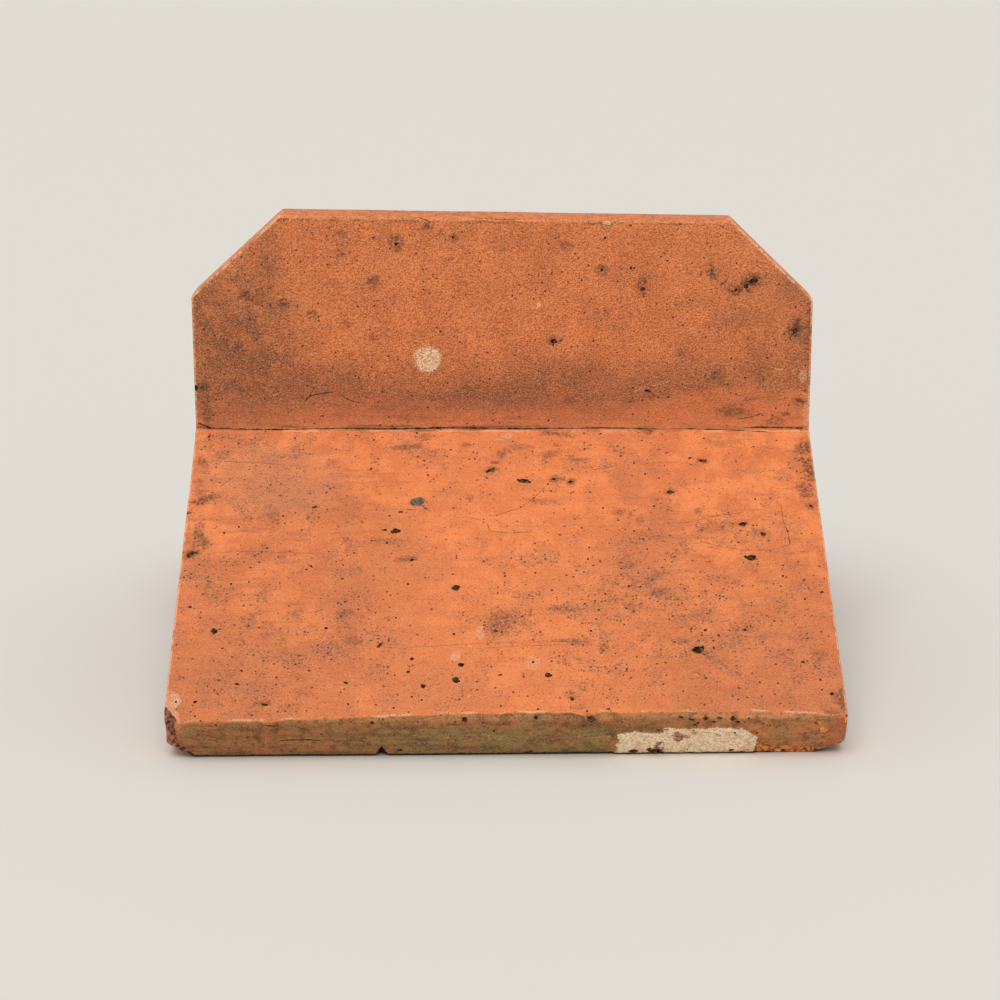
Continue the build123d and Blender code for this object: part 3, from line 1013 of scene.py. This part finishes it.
sootPlaces = [
    (245, 296, 6, 5, 0, 0.8), (258, 303, 4, 3, 0, 0.6), (283, 304, 6, 5, 0, 0.8), (270, 287, 4, 3, 0, 0.5),
    (346, 323, 5, 4, 0, 0.5), (239, 345, 5, 4, 0, 0.6), (607, 313, 4, 4, 0, 0.5), (565, 245, 5, 4, 0, 0.6),
    (712, 272, 6, 8, 20, 0.84), (752, 281, 11, 8, 15, 0.84), (795, 330, 7, 10, 0, 0.84),
    (800, 402, 6, 4, 0, 0.8), (203, 387, 6, 4, 0, 0.8), (207, 410, 4, 18, 0, 0.5), (570, 400, 6, 5, 0, 0.5),
    (652, 397, 6, 3, 0, 0.6), (602, 270, 7, 5, 0, 0.75), (341, 234, 4, 4, 0, 0.5),
    (396, 243, 7, 9, 0, 0.75), (428, 226, 5, 4, 0, 0.7), (453, 238, 5, 4, 0, 0.7), (340, 254, 5, 4, 0, 0.6),
    (374, 281, 6, 5, 0, 0.65), (312, 314, 5, 5, 0, 0.65), (373, 337, 4, 4, 0, 0.5),
    (448, 259, 5, 3, 0, 0.4), (426, 291, 4, 4, 0, 0.4), (643, 286, 6, 9, 0, 0.8), (554, 340, 7, 5, 0, 0.75),
    (736, 290, 8, 5, 0, 0.8), (690, 273, 4, 3, 0, 0.4), (681, 353, 6, 4, 0, 0.4), (716, 375, 6, 4, 40, 0.4),
    (730, 411, 16, 6, 0, 0.55), (775, 421, 10, 4, 0, 0.5), (648, 431, 6, 4, 0, 0.8),
    (760, 374, 5, 9, 0, 0.3), (554, 479, 6, 5, 0, 0.7), (571, 482, 5, 5, 0, 0.7), (191, 554, 8, 6, 40, 0.7),
    (698, 650, 8, 6, 0, 0.4), (491, 470, 7, 4, 20, 0.7), (262, 703, 10, 4, 10, 0.55),
    (417, 502, 8, 6, 25, 1.0), (427, 509, 7, 1.6, -35, 0.8), (572, 696, 7, 5, -40, 0.5),
    (591, 717, 7, 6, 0, 0.5), (670, 492, 6, 5, 0, 0.5), (743, 524, 6, 5, 0, 0.5), (763, 533, 8, 6, 0, 0.4),
    (811, 506, 7, 5, 0, 0.5), (698, 511, 4, 4, 0, 0.5), (703, 461, 8, 4, -15, 0.4),
    (206, 499, 16, 5, 28, 0.8), (203, 462, 5, 8, 30, 0.65), (200, 483, 5, 6, 0, 0.4),
    (202, 541, 4, 15, 30, 0.6), (333, 463, 7, 6, 0, 0.45), (373, 470, 5, 4, 0, 0.4),
    (466, 445, 5, 4, 0, 0.5), (425, 437, 9, 4, 0, 0.5), (501, 454, 5, 6, 0, 0.6),
    (520, 447, 14, 5, 0, 0.45), (547, 433, 6, 3, 0, 0.7), (568, 435, 8, 4, 0, 0.6),
    (551, 454, 10, 5, 25, 0.5), (583, 460, 9, 3, 0, 0.6), (410, 447, 24, 4, 5, 0.5),
    (470, 497, 4, 5, 0, 0.5), (619, 512, 9, 5, 0, 0.5), (545, 502, 16, 4, -8, 0.4),
    (640, 520, 6, 7, 0, 0.5), (407, 559, 12, 4, 10, 0.6), (500, 622, 11, 16, 0, 0.6),
    (560, 609, 14, 3, 0, 0.6), (604, 647, 5, 6, 0, 0.65), (570, 641, 12, 3, 0, 0.6),
    (345, 613, 7, 6, 0, 0.45), (297, 613, 6, 5, 0, 0.4), (248, 620, 8, 9, 0, 0.35),
    (352, 641, 8, 6, 0, 0.45), (273, 517, 6, 10, 0, 0.35), (805, 448, 9, 10, -40, 0.84),
    (811, 470, 7, 20, 10, 0.84), (805, 488, 9, 10, 0, 0.7), (834, 606, 4, 15, 8, 0.75),
    (838, 632, 4, 8, 8, 0.6), (842, 700, 7, 14, 0, 0.7), (834, 713, 9, 4, 0, 0.5),
    (808, 330, 4, 34, 0, 0.5), (809, 312, 5, 10, 0, 0.6), (818, 656, 7, 9, -30, 0.45),
    (660, 592, 12, 5, 20, 0.4), (718, 528, 22, 9, 0, 0.3), (388, 541, 16, 4, 0, 0.4),
]
palePlaces = {
    "limeDot": (428, 359, 13.0, 13.0, 0, 1.0),
    "endPale": (806, 414, 3.0, 13.0, 0, 0.3),
    "endCrumbs": (803, 376, 4.0, 7.0, 0, 0.35),
    "topCrumb": (607, 223, 4.0, 2.0, 0, 0.7),
    "crestSpeck": (573, 255, 2.2, 1.2, -30, 0.8),
    "crestSpeckLow": (539, 305, 1.8, 2.6, 0, 0.8),
    "wingSpeck": (470, 694, 1.4, 2.4, 0, 0.7),
    "cornerBloom": (172, 702, 10, 24, 10, 0.3),
    "cornerRing": (176, 701, 4.5, 7, 0, 0.55),
    "pitHalo": (533, 663, 7, 9, 0, 0.18),
    "wingBloom": (455, 657, 5, 6, 0, 0.3),
    "upperBloom": (480, 633, 4, 8, 0, 0.3),
    "seamPale": (507, 436, 6, 4, 0, 0.25),
    "leftHaze": (270, 478, 70, 50, 0, 0.08),
    "crestScratch": (674, 380, 44, 0.7, 15, 0.4),
    "crestScratchLeft": (560, 380, 22, 0.6, -18, 0.3),
    "crestDashes": (785, 369, 16, 0.8, 0, 0.5),
}


cloudShape = {"shake": 14.0, "shakeSize": 8.0, "outside": 1.7, "inside": 0.35}
spotDepth = 12.0       # millimetres through the surface
markEnds = 3.0         # in reaches of a spot; a point further out lies in no spot
farAway = 5.0          # and is kept as this far away


def spotAxes(spot):
    # the middle of a spot, and its three axes with lengths that make its edge lie one away
    px, py, width, height, turn, strength = spot
    centre, normal = onTile(px, py)
    turned = surfaceTurn(normal, turn)
    reach = (width / 2 * mm, height / 2 * mm, spotDepth / 2 * mm)
    return centre, [tuple(turned.col[i] / reach[i]) for i in range(3)], strength


def layClouds(tile, name, spots):
    # soft overlapping spots, kept as one value on the mesh's points
    bench = newGeometryTree("layClouds", {
        "Shake": cloudShape["shake"] * mm, "Shake Size": cloudShape["shakeSize"], "Surface": clay})
    given = bench.start()
    position = bench.position()
    stray = bench.stray(bench.scaled(position, 1 / mm), given["Shake Size"], 3.0)
    ragged = bench.vector("ADD", position, bench.scaled(stray, given["Shake"]))
    masks = []
    for spot in spots:
        centre, axes, strength = spotAxes(spot)
        away = bench.vector("SUBTRACT", ragged, tuple(centre))
        local = bench.join(*[bench.vector("DOT_PRODUCT", away, axis) for axis in axes])
        masks.append(bench.band(bench.vector("LENGTH", local), cloudShape["outside"], cloudShape["inside"],
                                0.0, strength))
    bench.finish(bench.keep(given["Geometry"], name, bench.most(masks), "FLOAT"), given["Surface"],
                 keepOthers=True)
    return runTree(tile, bench)


def layMarks(tile, name, spots):
    # small spots apart from each other: each point of the mesh keeps where it lies in the nearest spot
    centres, axes, strengths = zip(*[spotAxes(spot) for spot in spots])
    marks = meshObject(name, centres)
    for i, axisName in enumerate(("across", "upward", "outward")):
        addPointData(marks, axisName, "FLOAT_VECTOR", [spotAxis[i] for spotAxis in axes])
    addPointData(marks, "strength", "FLOAT", strengths)

    bench = newGeometryTree("layMarks", {"Marks": marks, "Surface": clay})
    given = bench.start()
    points = bench.shapeOf(given["Marks"])
    position = bench.position()
    nearest = bench.put("GeometryNodeSampleNearest", {"Geometry": points, "Sample Position": position})

    def pick(value, kind):
        node = bench.put("GeometryNodeSampleIndex", data_type=kind)
        for key, source in (("Geometry", points), ("Value", value), ("Index", nearest.outputs[0])):
            setSocket(bench.tree, node.inputs[key], source)
        return node.outputs[0]

    away = bench.vector("SUBTRACT", position, pick(position, "FLOAT_VECTOR"))
    local = []
    for axisName in ("across", "upward", "outward"):
        axis = pick(bench.named(axisName, "FLOAT_VECTOR"), "FLOAT_VECTOR")
        local.append(bench.vector("DOT_PRODUCT", away, axis))
    local = bench.join(*local)
    outside = bench.math("GREATER_THAN", bench.vector("LENGTH", local), markEnds)
    mark = bench.put("GeometryNodeSwitch", {"Switch": outside, "False": local, "True": (farAway,) * 3},
                     input_type="VECTOR")
    kept = bench.keep(given["Geometry"], name, mark.outputs[0], "FLOAT_VECTOR")
    strength = pick(bench.named("strength", "FLOAT"), "FLOAT")
    kept = bench.keep(kept, name + "Strength", strength, "FLOAT")
    bench.finish(kept, given["Surface"], keepOthers=True)
    runTree(tile, bench)
    bpy.data.objects.remove(marks)


layClouds(ridgeTile, "smoky", smokyPlaces)
layClouds(ridgeTile, "stained", crestStains)
layMarks(ridgeTile, "sooty", sootPlaces)
layMarks(ridgeTile, "pale", list(palePlaces.values()))
print("marks laid")


clayFinish = {
    "wingOrange": colour(222, 123, 71),
    "wingBright": colour(242, 139, 81),
    "wingDull": colour(195, 113, 72),
    "smoke": colour(114, 72, 52),
    "haze": colour(162, 118, 92),
    "crestSand": colour(232, 135, 81),
    "crestDull": colour(216, 124, 75),
    # stain colour, also used for the painted shade low on the crest
    "crestStainAndShade": colour(148, 92, 62),
    "luted": colour(212, 120, 76),
    "topFace": colour(248, 150, 98),
    "grain": colour(84, 44, 22),
    "dot": colour(58, 42, 34),
    "paleGrain": colour(255, 218, 178),
    "sandGrain": colour(252, 202, 152),
    "soot": colour(66, 54, 48),
    "flake": colour(126, 108, 96),
    "seam": colour(62, 46, 28),
    # painted shade: the black of the contact shadow and of the nick's inside
    "shadeBlack": colour(26, 20, 14),
    "footBrown": colour(178, 114, 68),
    "footLight": colour(212, 134, 80),
    "footMoss": colour(158, 126, 76),
    "footDark": colour(64, 46, 30),
    "crumb": colour(196, 164, 108),
    "footRed": colour(196, 98, 66),
    "lime": colour(255, 230, 194),
    "limeGrey": colour(240, 202, 160),
    "limeShade": colour(198, 146, 104),
    "limeRed": colour(138, 74, 58),
    "pale": colour(246, 212, 174),
    # pale worn clay, also used for the painted arris highlights
    "worn": colour(255, 190, 146),
    "under": colour(200, 118, 76),
    "roughness": 0.9,
    "specular": 0.2,
}


# Where the finish changes, from and to, in millimetres on the tile
finishPlaces = {
    "wingDull": (70.0, 180.0),           # down the wing from the crease
    "wingDullAside": (50.0, 120.0),      # aside: from the middle of the tile
    "wingBrightAside": (80.0, 30.0),
    "crestSandy": (3.0, 20.0),           # above the crease
    "crestShadedLow": (46.0, 12.0),
    "lutedTop": (16.5, 9.5),
    "lutedBright": (20.0, 70.0),         # along the tile, as the next six
    "mossLeft": (-72.0, -45.0),
    "mossRight": (60.0, 40.0),
    "crumbsLeft": (-50.0, -20.0),
    "footLight": (60.0, 110.0),
    "footRed": (141.0, 149.0),
    "seamThin": (5.0, 30.0),
    "mossTop": (-4.2, -5.4),             # out from the wing's face, so less is lower on the foot
    "crumbsTop": (-7.0, -11.0),
    "crumbsLow": (-19.0, -14.0),
    "wornTop": (-3.0, -1.5),
    "underside": (-22.0, -24.5),
    # the painted contact shadow along the standing edges, out from the wing's face and beyond the foot's edge
    "contactShadeEdge": (-22.4, -23.3),
    "contactShadeFoot": (-6.0, -2.0),           # beyond the foot's edge
    "footStart": (-1.2, -0.4),
    "topFace": (1.5, 0.9),               # below the crest's top
    "topLineLow": (2.7, 1.7),
    "topLineHigh": (0.8, 1.5),
    "wornRim": (1.3, 0.6),               # in from an end
    "wornHigh": (20.0, 30.0),            # above the crease
    "wornLine": (0.9, 0.2),              # away from the arris over the foot
    "jointNear": (2.6, 0.4),             # above or below the joint under the crest, and out from it
    "jointDeep": (5.0, 2.5),
    "lipStart": (0.7, 1.2),              # down the wing from the crease
    "lipEnd": (2.8, 1.6),
    "nickMouth": (4.0, 3.4),             # beside the nick's middle, as the next
    "nickInside": (4.5, 4.0),
    "nickRise": (11.0, 9.5),             # up from the standing edge
    "nickDepth": (-0.7, -1.4),           # beyond the foot's edge, as the next
    "nickFront": (-7.0, -6.0),
}


def clayTextures(bench, place):
    # the noises that the finish shares
    alongRidge = bench.vector("MULTIPLY", place, (0.12, 1.0, 1.0))
    return {
        "broad": bench.noise(place, 38.0, 2.0, 0.55, seed=1),
        "medium": bench.noise(place, 7.0, 4.0, 0.62, seed=2),
        "clustered": bench.noise(place, 5.0, 4.0, 0.65, seed=6),
        "small": bench.noise(place, 2.3, 4.0, 0.7, seed=15),
        "fine": bench.noise(place, 0.7, 2.0, 0.65, seed=12),
        "grit": bench.noise(place, 0.32, 1.0, 0.6, seed=4),
        "drawn": bench.noise(alongRidge, 1.7, 4.0, 0.68, seed=8),
    }


def wingTone(bench, tile, noises):
    # mottled orange, duller towards the foot
    tint = clayFinish
    tone = bench.mix(bench.band(noises["medium"], 0.40, 0.60), tint["wingOrange"], tint["wingBright"])
    tone = bench.mix(bench.band(noises["broad"], 0.48, 0.66, 0.0, 0.6), tone, tint["wingDull"])
    tone = bench.mix(bench.band(noises["drawn"], 0.53, 0.64, 0.0, 0.6), tone, tint["wingDull"])
    tone = bench.mix(bench.band(noises["clustered"], 0.52, 0.62, 0.0, 0.4), tone, tint["wingDull"])
    low = bench.band(tile["along"], *finishPlaces["wingDull"])
    aside = bench.math("ABSOLUTE", tile["x"])
    low = bench.times(low, bench.band(aside, *finishPlaces["wingDullAside"], 0.25, 0.65))
    tone = bench.mix(low, tone, tint["wingDull"])
    return bench.mix(bench.band(aside, *finishPlaces["wingBrightAside"], 0.0, 0.35), tone, tint["wingBright"])


def crestTone(bench, tile, noises, smoothed):
    # sandier and browner, darker low down with partly painted shade, and smoothed where it was luted to the
    # wings
    tint = clayFinish
    places = finishPlaces
    tone = bench.mix(bench.band(noises["medium"], 0.38, 0.62), tint["crestDull"], tint["crestSand"])
    # darker low on the crest, by the joint: partly staining, partly painted shade
    tone = bench.mix(bench.band(tile["above"], *places["crestShadedLow"], 0.0, 0.5), tone, tint["crestStainAndShade"])
    tone = bench.mix(bench.times(smoothed, 0.7), tone, tint["luted"])
    stains = bench.times(bench.stored("stained"), bench.band(noises["clustered"], 0.40, 0.58, 0.55, 0.95))
    tone = bench.mix(stains, tone, tint["crestStainAndShade"])
    streaks = bench.times(smoothed, bench.band(noises["drawn"], 0.48, 0.60, 0.0, 0.55))
    tone = bench.mix(streaks, tone, tint["crestStainAndShade"])
    mottles = bench.times(smoothed, bench.band(noises["clustered"], 0.47, 0.60, 0.0, 0.6))
    tone = bench.mix(mottles, tone, tint["wingOrange"])
    brighter = bench.times(smoothed, bench.band(tile["x"], *places["lutedBright"], 0.0, 0.32))
    tone = bench.mix(brighter, tone, tint["wingBright"])
    # the top face paler: partly its own clay, partly painted top light
    topLitTone = bench.mix(bench.band(noises["small"], 0.44, 0.58), tone, tint["topFace"])
    tone = bench.mix(bench.band(tile["belowTop"], *places["topFace"]), tone, topLitTone)
    # dark breaks along the front arris of the top
    wavy = bench.timesPlus(noises["small"], 5.0, bench.plus(tile["belowTop"], -2.5))
    line = bench.times(bench.band(wavy, *places["topLineLow"]), bench.band(wavy, *places["topLineHigh"]))
    breaks = bench.band(noises["clustered"], 0.46, 0.58, 0.10, 0.55)
    return bench.mix(bench.times(line, breaks), tone, tint["footDark"])


def footTone(bench, tile, noises):
    # brown, mossy in the middle, streaked along its length and dirty where it stands
    tint = clayFinish
    places = finishPlaces
    x = tile["x"]
    lift = tile["lift"]
    mossy = bench.times(bench.band(x, *places["mossLeft"]), bench.band(x, *places["mossRight"]))
    edge = bench.timesPlus(noises["medium"], 12.0, bench.plus(lift, -6.0))
    mossy = bench.times(mossy, bench.band(edge, *places["mossTop"]))
    mossy = bench.times(mossy, bench.band(noises["medium"], 0.36, 0.52))
    brown = bench.mix(bench.band(x, *places["footLight"], 0.0, 0.7), tint["footBrown"], tint["footLight"])
    tone = bench.mix(bench.band(noises["clustered"], 0.44, 0.60, 0.0, 0.5), brown, tint["footMoss"])
    tone = bench.mix(mossy, tone, tint["footMoss"])
    tone = bench.mix(bench.band(noises["drawn"], 0.48, 0.62, 0.0, 0.34), tone, tint["footDark"])
    tone = bench.mix(bench.band(noises["small"], 0.47, 0.62, 0.0, 0.5), tone, tint["footDark"])
    # pale crumbs in a loose row along the mossy part
    row = bench.times(bench.band(lift, *places["crumbsTop"]), bench.band(lift, *places["crumbsLow"]))
    row = bench.times(row, bench.band(x, *places["crumbsLeft"]))
    row = bench.times(row, bench.band(x, *places["mossRight"], 0.0, 0.10))
    crumbs = bench.band(bench.plus(noises["fine"], row), 0.65, 0.72, 0.0, 0.55)
    tone = bench.mix(crumbs, tone, tint["crumb"])
    red = bench.times(bench.band(x, *places["footRed"]), bench.band(noises["small"], 0.40, 0.60, 0.2, 0.9))
    return bench.mix(red, tone, tint["footRed"])


def dirt(bench, base, noises, place):
    # short dark flecks that crowd together in clouds
    behind = bench.band(bench.split(place)[1], 2.0, 12.0)
    behind = bench.times(behind, bench.band(noises["broad"], 0.49, 0.58, 0.0, 0.8))
    clouds = bench.most([bench.stored("smoky"), behind])
    clusters = bench.band(noises["clustered"], 0.44, 0.62)
    crowd = bench.times(clusters, bench.timesPlus(clouds, 0.5, 0.34))
    crowd = bench.plus(crowd, bench.times(clouds, 0.45))
    flecks = bench.noise(bench.vector("MULTIPLY", place, (0.8, 1.0, 1.0)), 0.46, 2.0, 0.6, seed=7)
    level = bench.timesPlus(crowd, -0.15, 0.65)
    smoke = bench.band(bench.minus(flecks, level), -0.02, 0.05, 0.0, 0.62)
    base = bench.mix(smoke, base, clayFinish["smoke"])
    base = bench.mix(bench.times(crowd, 0.16), base, clayFinish["haze"])
    dots = bench.put("ShaderNodeTexVoronoi", {"Vector": place, "Scale": 0.62, "Randomness": 1.0},
                     feature="F1")
    chosen = bench.split(dots.outputs["Color"])
    radius = bench.band(bench.timesPlus(crowd, 0.10, chosen[0]), 0.84, 1.05, 0.0, 0.42)
    dot = bench.band(bench.minus(radius, dots.outputs["Distance"]), -0.03, 0.06, 0.0, 0.85)
    return bench.mix(dot, base, clayFinish["dot"])


def grainsAndGrainShade(bench, base, noises, sandy):
    # sand, dark and pale, more of it on the crest than on the wings: the dark specks are partly painted grain
    # shadows, the pale ones partly painted glints on grain tops
    tint = clayFinish
    dark = bench.band(noises["grit"], 0.5, 0.34, 0.0, bench.timesPlus(sandy, 0.30, 0.15))
    pale = bench.band(noises["grit"], 0.52, 0.68, 0.0, bench.timesPlus(sandy, 0.10, 0.13))
    base = bench.mix(dark, base, tint["grain"])
    return bench.mix(pale, base, bench.mix(sandy, tint["paleGrain"], tint["sandGrain"]))


def spots(bench, base, noises, place):
    # soot marks, pale blooms and the round lime spot, all ragged in the same way
    tint = clayFinish
    stray = bench.stray(place, 1.0, 2.0, 0.65)

    def spotMask(name, shake, edge):
        local = bench.vector("ADD", bench.stored(name, "Vector"), bench.scaled(stray, shake))
        beyond = bench.minus(bench.vector("LENGTH", local), 1.0)
        return bench.times(bench.band(beyond, edge, bench.times(edge, -1.0)), bench.stored(name + "Strength"))

    # a strength near 1 means a solid mark, and less means flecks
    solid = bench.band(bench.stored("sootyStrength"), 0.85, 0.95)
    patchy = bench.most([bench.band(noises["fine"], 0.40, 0.54, 0.2, 0.95), solid])
    soot = spotMask("sooty", bench.timesPlus(solid, -0.9, 1.6), bench.timesPlus(solid, -0.35, 0.5))
    soot = bench.times(soot, patchy)
    flake = bench.mix(bench.band(noises["fine"], 0.44, 0.60, 0.1, 0.7), tint["flake"], tint["soot"])
    base = bench.mix(soot, base, bench.mix(solid, tint["soot"], flake))
    pale = bench.times(spotMask("pale", 0.7, 0.2), bench.band(noises["grit"], 0.40, 0.56, 0.3, 1.0))
    return bench.mix(pale, base, tint["pale"])


def limeCrust(bench, base, tile, noises):
    tint = clayFinish
    tone = bench.mix(bench.band(noises["medium"], 0.46, 0.66), tint["lime"], tint["limeGrey"])
    tone = bench.mix(bench.band(noises["small"], 0.50, 0.62, 0.0, 0.4), tone, tint["limeShade"])
    tone = bench.mix(bench.band(noises["fine"], 0.50, 0.62, 0.0, 0.5), tone, tint["limeShade"])
    tone = bench.mix(bench.band(noises["grit"], 0.5, 0.34, 0.0, 0.35), tone, tint["footDark"])
    # red clay shows where the crust is thin
    thin = []
    for x, lift, size in thinPlaces:
        away = bench.join(bench.minus(tile["x"], x), 0.0, bench.minus(tile["lift"], lift))
        thin.append(bench.band(bench.vector("LENGTH", away), size, size * 0.3, 0.0, 0.15))
    red = bench.band(bench.plus(noises["small"], bench.most(thin)), 0.63, 0.70)
    red = bench.times(red, bench.band(noises["fine"], 0.40, 0.60, 0.95, 0.45))
    tone = bench.mix(red, tone, tint["limeRed"])
    return bench.mix(limeMask(bench, tile), base, tone)


def jointLines(bench, base, tile, noises, place):
    # the joint under the crest: dark lines drawn out along it, over a paler lip
    tint = clayFinish
    places = finishPlaces
    lines = bench.noise(bench.vector("MULTIPLY", place, (0.035, 1.0, 1.0)), 0.75, 2.0, 0.7, seed=22)
    near = bench.math("ABSOLUTE", bench.plus(tile["above"], -0.3))
    joint = bench.band(near, *places["jointNear"])
    joint = bench.times(joint, bench.band(tile["outward"], *places["jointDeep"]))
    seam = bench.band(bench.timesPlus(joint, 0.16, lines), 0.60, 0.70, 0.0, 0.6)
    lip = bench.band(tile["along"], *places["lipStart"])
    lip = bench.times(lip, bench.band(tile["along"], *places["lipEnd"]))
    lip = bench.times(lip, bench.band(noises["medium"], 0.44, 0.58, 0.05, 0.42))
    seam = bench.times(seam, bench.band(tile["x"], *places["seamThin"], 1.0, 0.45))
    base = bench.mix(bench.times(seam, joint), base, tint["seam"])
    return bench.mix(lip, base, tint["worn"])


def nickShade(bench, tile, noises):
    # painted shade: the nick is painted black inside, as its shadow, and so is a ragged triangle round its
    # mouth
    places = finishPlaces
    rise = bench.plus(tile["lift"], form["thickness"])
    beside = bench.math("ABSOLUTE", bench.minus(tile["x"], form["nickX"]))
    flank = bench.timesPlus(noises["small"], 4.0, bench.plus(beside, -2.0))
    mouth = bench.band(bench.timesPlus(rise, 0.52, flank), *places["nickMouth"])
    inside = bench.band(beside, *places["nickInside"])
    inside = bench.times(inside, bench.band(tile["toFoot"], *places["nickDepth"]))
    inside = bench.times(inside, bench.band(rise, *places["nickRise"]))
    front = bench.band(tile["toFoot"], *places["nickFront"])
    front = bench.times(front, bench.band(tile["y"], *frontSide))
    return bench.times(bench.math("MAXIMUM", mouth, inside), front)


def wornAndLitEnds(bench, base, tile, noises, foot):
    # a thin pale line round both ends, and the clipped corners of the crest: worn clay and a painted
    # highlight on the arris
    leftRun, leftDrop = form["clipLeft"]
    rightRun, rightDrop = form["clipRight"]
    distances = [bench.minus(form["halfLength"], bench.math("ABSOLUTE", tile["x"]))]
    for side, run, drop in ((-1, leftRun, leftDrop), (1, rightRun, rightDrop)):
        slope = Vector((side * drop, 0, run)).normalized()
        corner = Vector((side * form["halfLength"], 0, form["topZ"] - side * form["topFall"] - drop))
        reached = bench.vector("DOT_PRODUCT", bench.join(tile["x"], tile["y"], tile["level"]), slope)
        distances.append(bench.minus(slope.dot(corner), reached))
    nearest = bench.math("MINIMUM", distances[0], bench.math("MINIMUM", distances[1], distances[2]))
    rim = bench.band(nearest, *finishPlaces["wornRim"])
    worn = bench.times(rim, bench.band(noises["small"], 0.42, 0.56, 0.1, 0.85))
    worn = bench.times(worn, bench.minus(1.0, foot))
    # the end faces themselves are only a little dusty
    facing = bench.split(bench.put("ShaderNodeNewGeometry").outputs["True Normal"])
    sideways = bench.band(bench.math("ABSOLUTE", facing[0]), 0.94, 0.80)
    dusty = bench.times(rim, bench.band(noises["medium"], 0.36, 0.64, 0.05, 0.35))
    base = bench.mix(bench.times(dusty, bench.minus(1.0, sideways)), base, clayFinish["worn"])
    upward = bench.band(facing[2], 0.5, 0.7)
    upward = bench.times(upward, bench.band(tile["above"], *finishPlaces["wornHigh"]))
    worn = bench.times(worn, bench.timesPlus(upward, -0.35, 1.0))
    return bench.mix(bench.times(worn, sideways), base, clayFinish["worn"])


def paintClay(material):
    tree = material.node_tree
    bench = Bench(tree)
    shader = tree.nodes["Principled BSDF"]
    tile = tilePlaces(bench, bench.put("ShaderNodeTexCoord").outputs["Object"])
    place = tile["place"]
    tint = clayFinish
    places = finishPlaces
    noises = clayTextures(bench, place)

    # regions
    crest = bench.band(tile["above"], -0.6, 0.8)
    pastEdge = bench.plus(tile["toFoot"], footEdge(bench, tile))
    foot = bench.band(pastEdge, *places["footStart"])
    under = bench.times(bench.band(tile["lift"], *places["underside"]), bench.minus(1.0, foot))
    strip = bench.timesPlus(noises["broad"], 50.0, bench.minus(tile["above"], 42.0))
    strip = bench.timesPlus(noises["medium"], 36.0, strip)
    smoothed = bench.band(strip, *places["lutedTop"])
    sanded = bench.band(tile["above"], *places["crestSandy"])
    sandy = bench.times(sanded, bench.minus(1.0, smoothed))

    base = bench.mix(crest, wingTone(bench, tile, noises), crestTone(bench, tile, noises, smoothed))
    base = bench.mix(foot, base, footTone(bench, tile, noises))
    # a thin pale line along the worn arris: wear and a painted highlight
    edge = bench.band(bench.math("ABSOLUTE", bench.plus(pastEdge, 1.5)), *places["wornLine"])
    edge = bench.times(edge, bench.band(noises["clustered"], 0.46, 0.58, 0.0, 0.5))
    base = bench.mix(bench.times(edge, bench.band(tile["lift"], *places["wornTop"])), base, tint["worn"])
    base = bench.mix(under, base, tint["under"])
    base = dirt(bench, base, noises, place)
    base = grainsAndGrainShade(bench, base, noises, sandy)
    base = spots(bench, base, noises, place)
    base = limeCrust(bench, base, tile, noises)
    base = jointLines(bench, base, tile, noises, place)
    base = wornAndLitEnds(bench, base, tile, noises, foot)
    # painted contact shadow: a black line along the standing edges, where the tile meets the floor
    wavy = bench.timesPlus(noises["small"], 2.4, bench.plus(tile["lift"], -1.2))
    contactShade = bench.band(wavy, *places["contactShadeEdge"])
    contactShade = bench.times(contactShade, bench.band(tile["toFoot"], *places["contactShadeFoot"]))
    base = bench.mix(bench.times(contactShade, 0.96), base, tint["shadeBlack"])
    # painted shade inside the nick and round its mouth
    base = bench.mix(nickShade(bench, tile, noises), base, tint["shadeBlack"])
    setSocket(tree, shader.inputs["Base Color"], base)
    shader.inputs["Roughness"].default_value = tint["roughness"]
    shader.inputs["Specular IOR Level"].default_value = tint["specular"]

    sand = bench.noise(place, 0.5, 1.0, 0.65, seed=17)
    ripple = bench.noise(place, 2.2, 2.0, 0.6, seed=18)
    height = bench.timesPlus(sand, bench.timesPlus(sanded, 0.62, 0.30), bench.times(ripple, 0.22))
    bump = bench.put("ShaderNodeBump", {"Height": height, "Distance": mm, "Strength": 1.0})
    setSocket(tree, shader.inputs["Normal"], bump.outputs[0])


def paintCut(material, dark, light, blotch, size):
    # the inside of a pit, a crack or a break: two tones in blotches
    tree = material.node_tree
    bench = Bench(tree)
    shader = tree.nodes["Principled BSDF"]
    place = bench.scaled(bench.put("ShaderNodeTexCoord").outputs["Object"], 1 / mm)
    mottle = bench.noise(place, size, 4.0, 0.65, seed=20)
    base = bench.mix(bench.band(mottle, 0.5 - blotch, 0.5 + blotch), dark, light)
    setSocket(tree, shader.inputs["Base Color"], base)
    shader.inputs["Roughness"].default_value = 0.95
    shader.inputs["Specular IOR Level"].default_value = 0.1
    bump = bench.put("ShaderNodeBump", {"Height": mottle, "Distance": 0.6 * mm, "Strength": 0.7})
    setSocket(tree, shader.inputs["Normal"], bump.outputs[0])


paintClay(clay)
paintCut(pitSoot, colour(40, 28, 20), colour(126, 94, 60), 0.12, 0.8)
paintCut(brokenClay, colour(78, 50, 40), colour(184, 122, 92), 0.10, 1.2)
paintCut(freshClay, colour(150, 82, 46), colour(250, 166, 96), 0.10, 1.0)
print("clay painted")


def shadeTile(tile, sharpAngle=42.0):
    for face in tile.data.polygons:
        face.use_smooth = True
    tile.data.set_sharp_from_angle(angle=radians(sharpAngle))


shadeTile(ridgeTile)
bpy.data.objects.remove(smoothTile)
print("triangles:", sum(len(face.vertices) - 2 for face in ridgeTile.data.polygons))
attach(ridgeTile, "root")
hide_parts("ridge_tile")
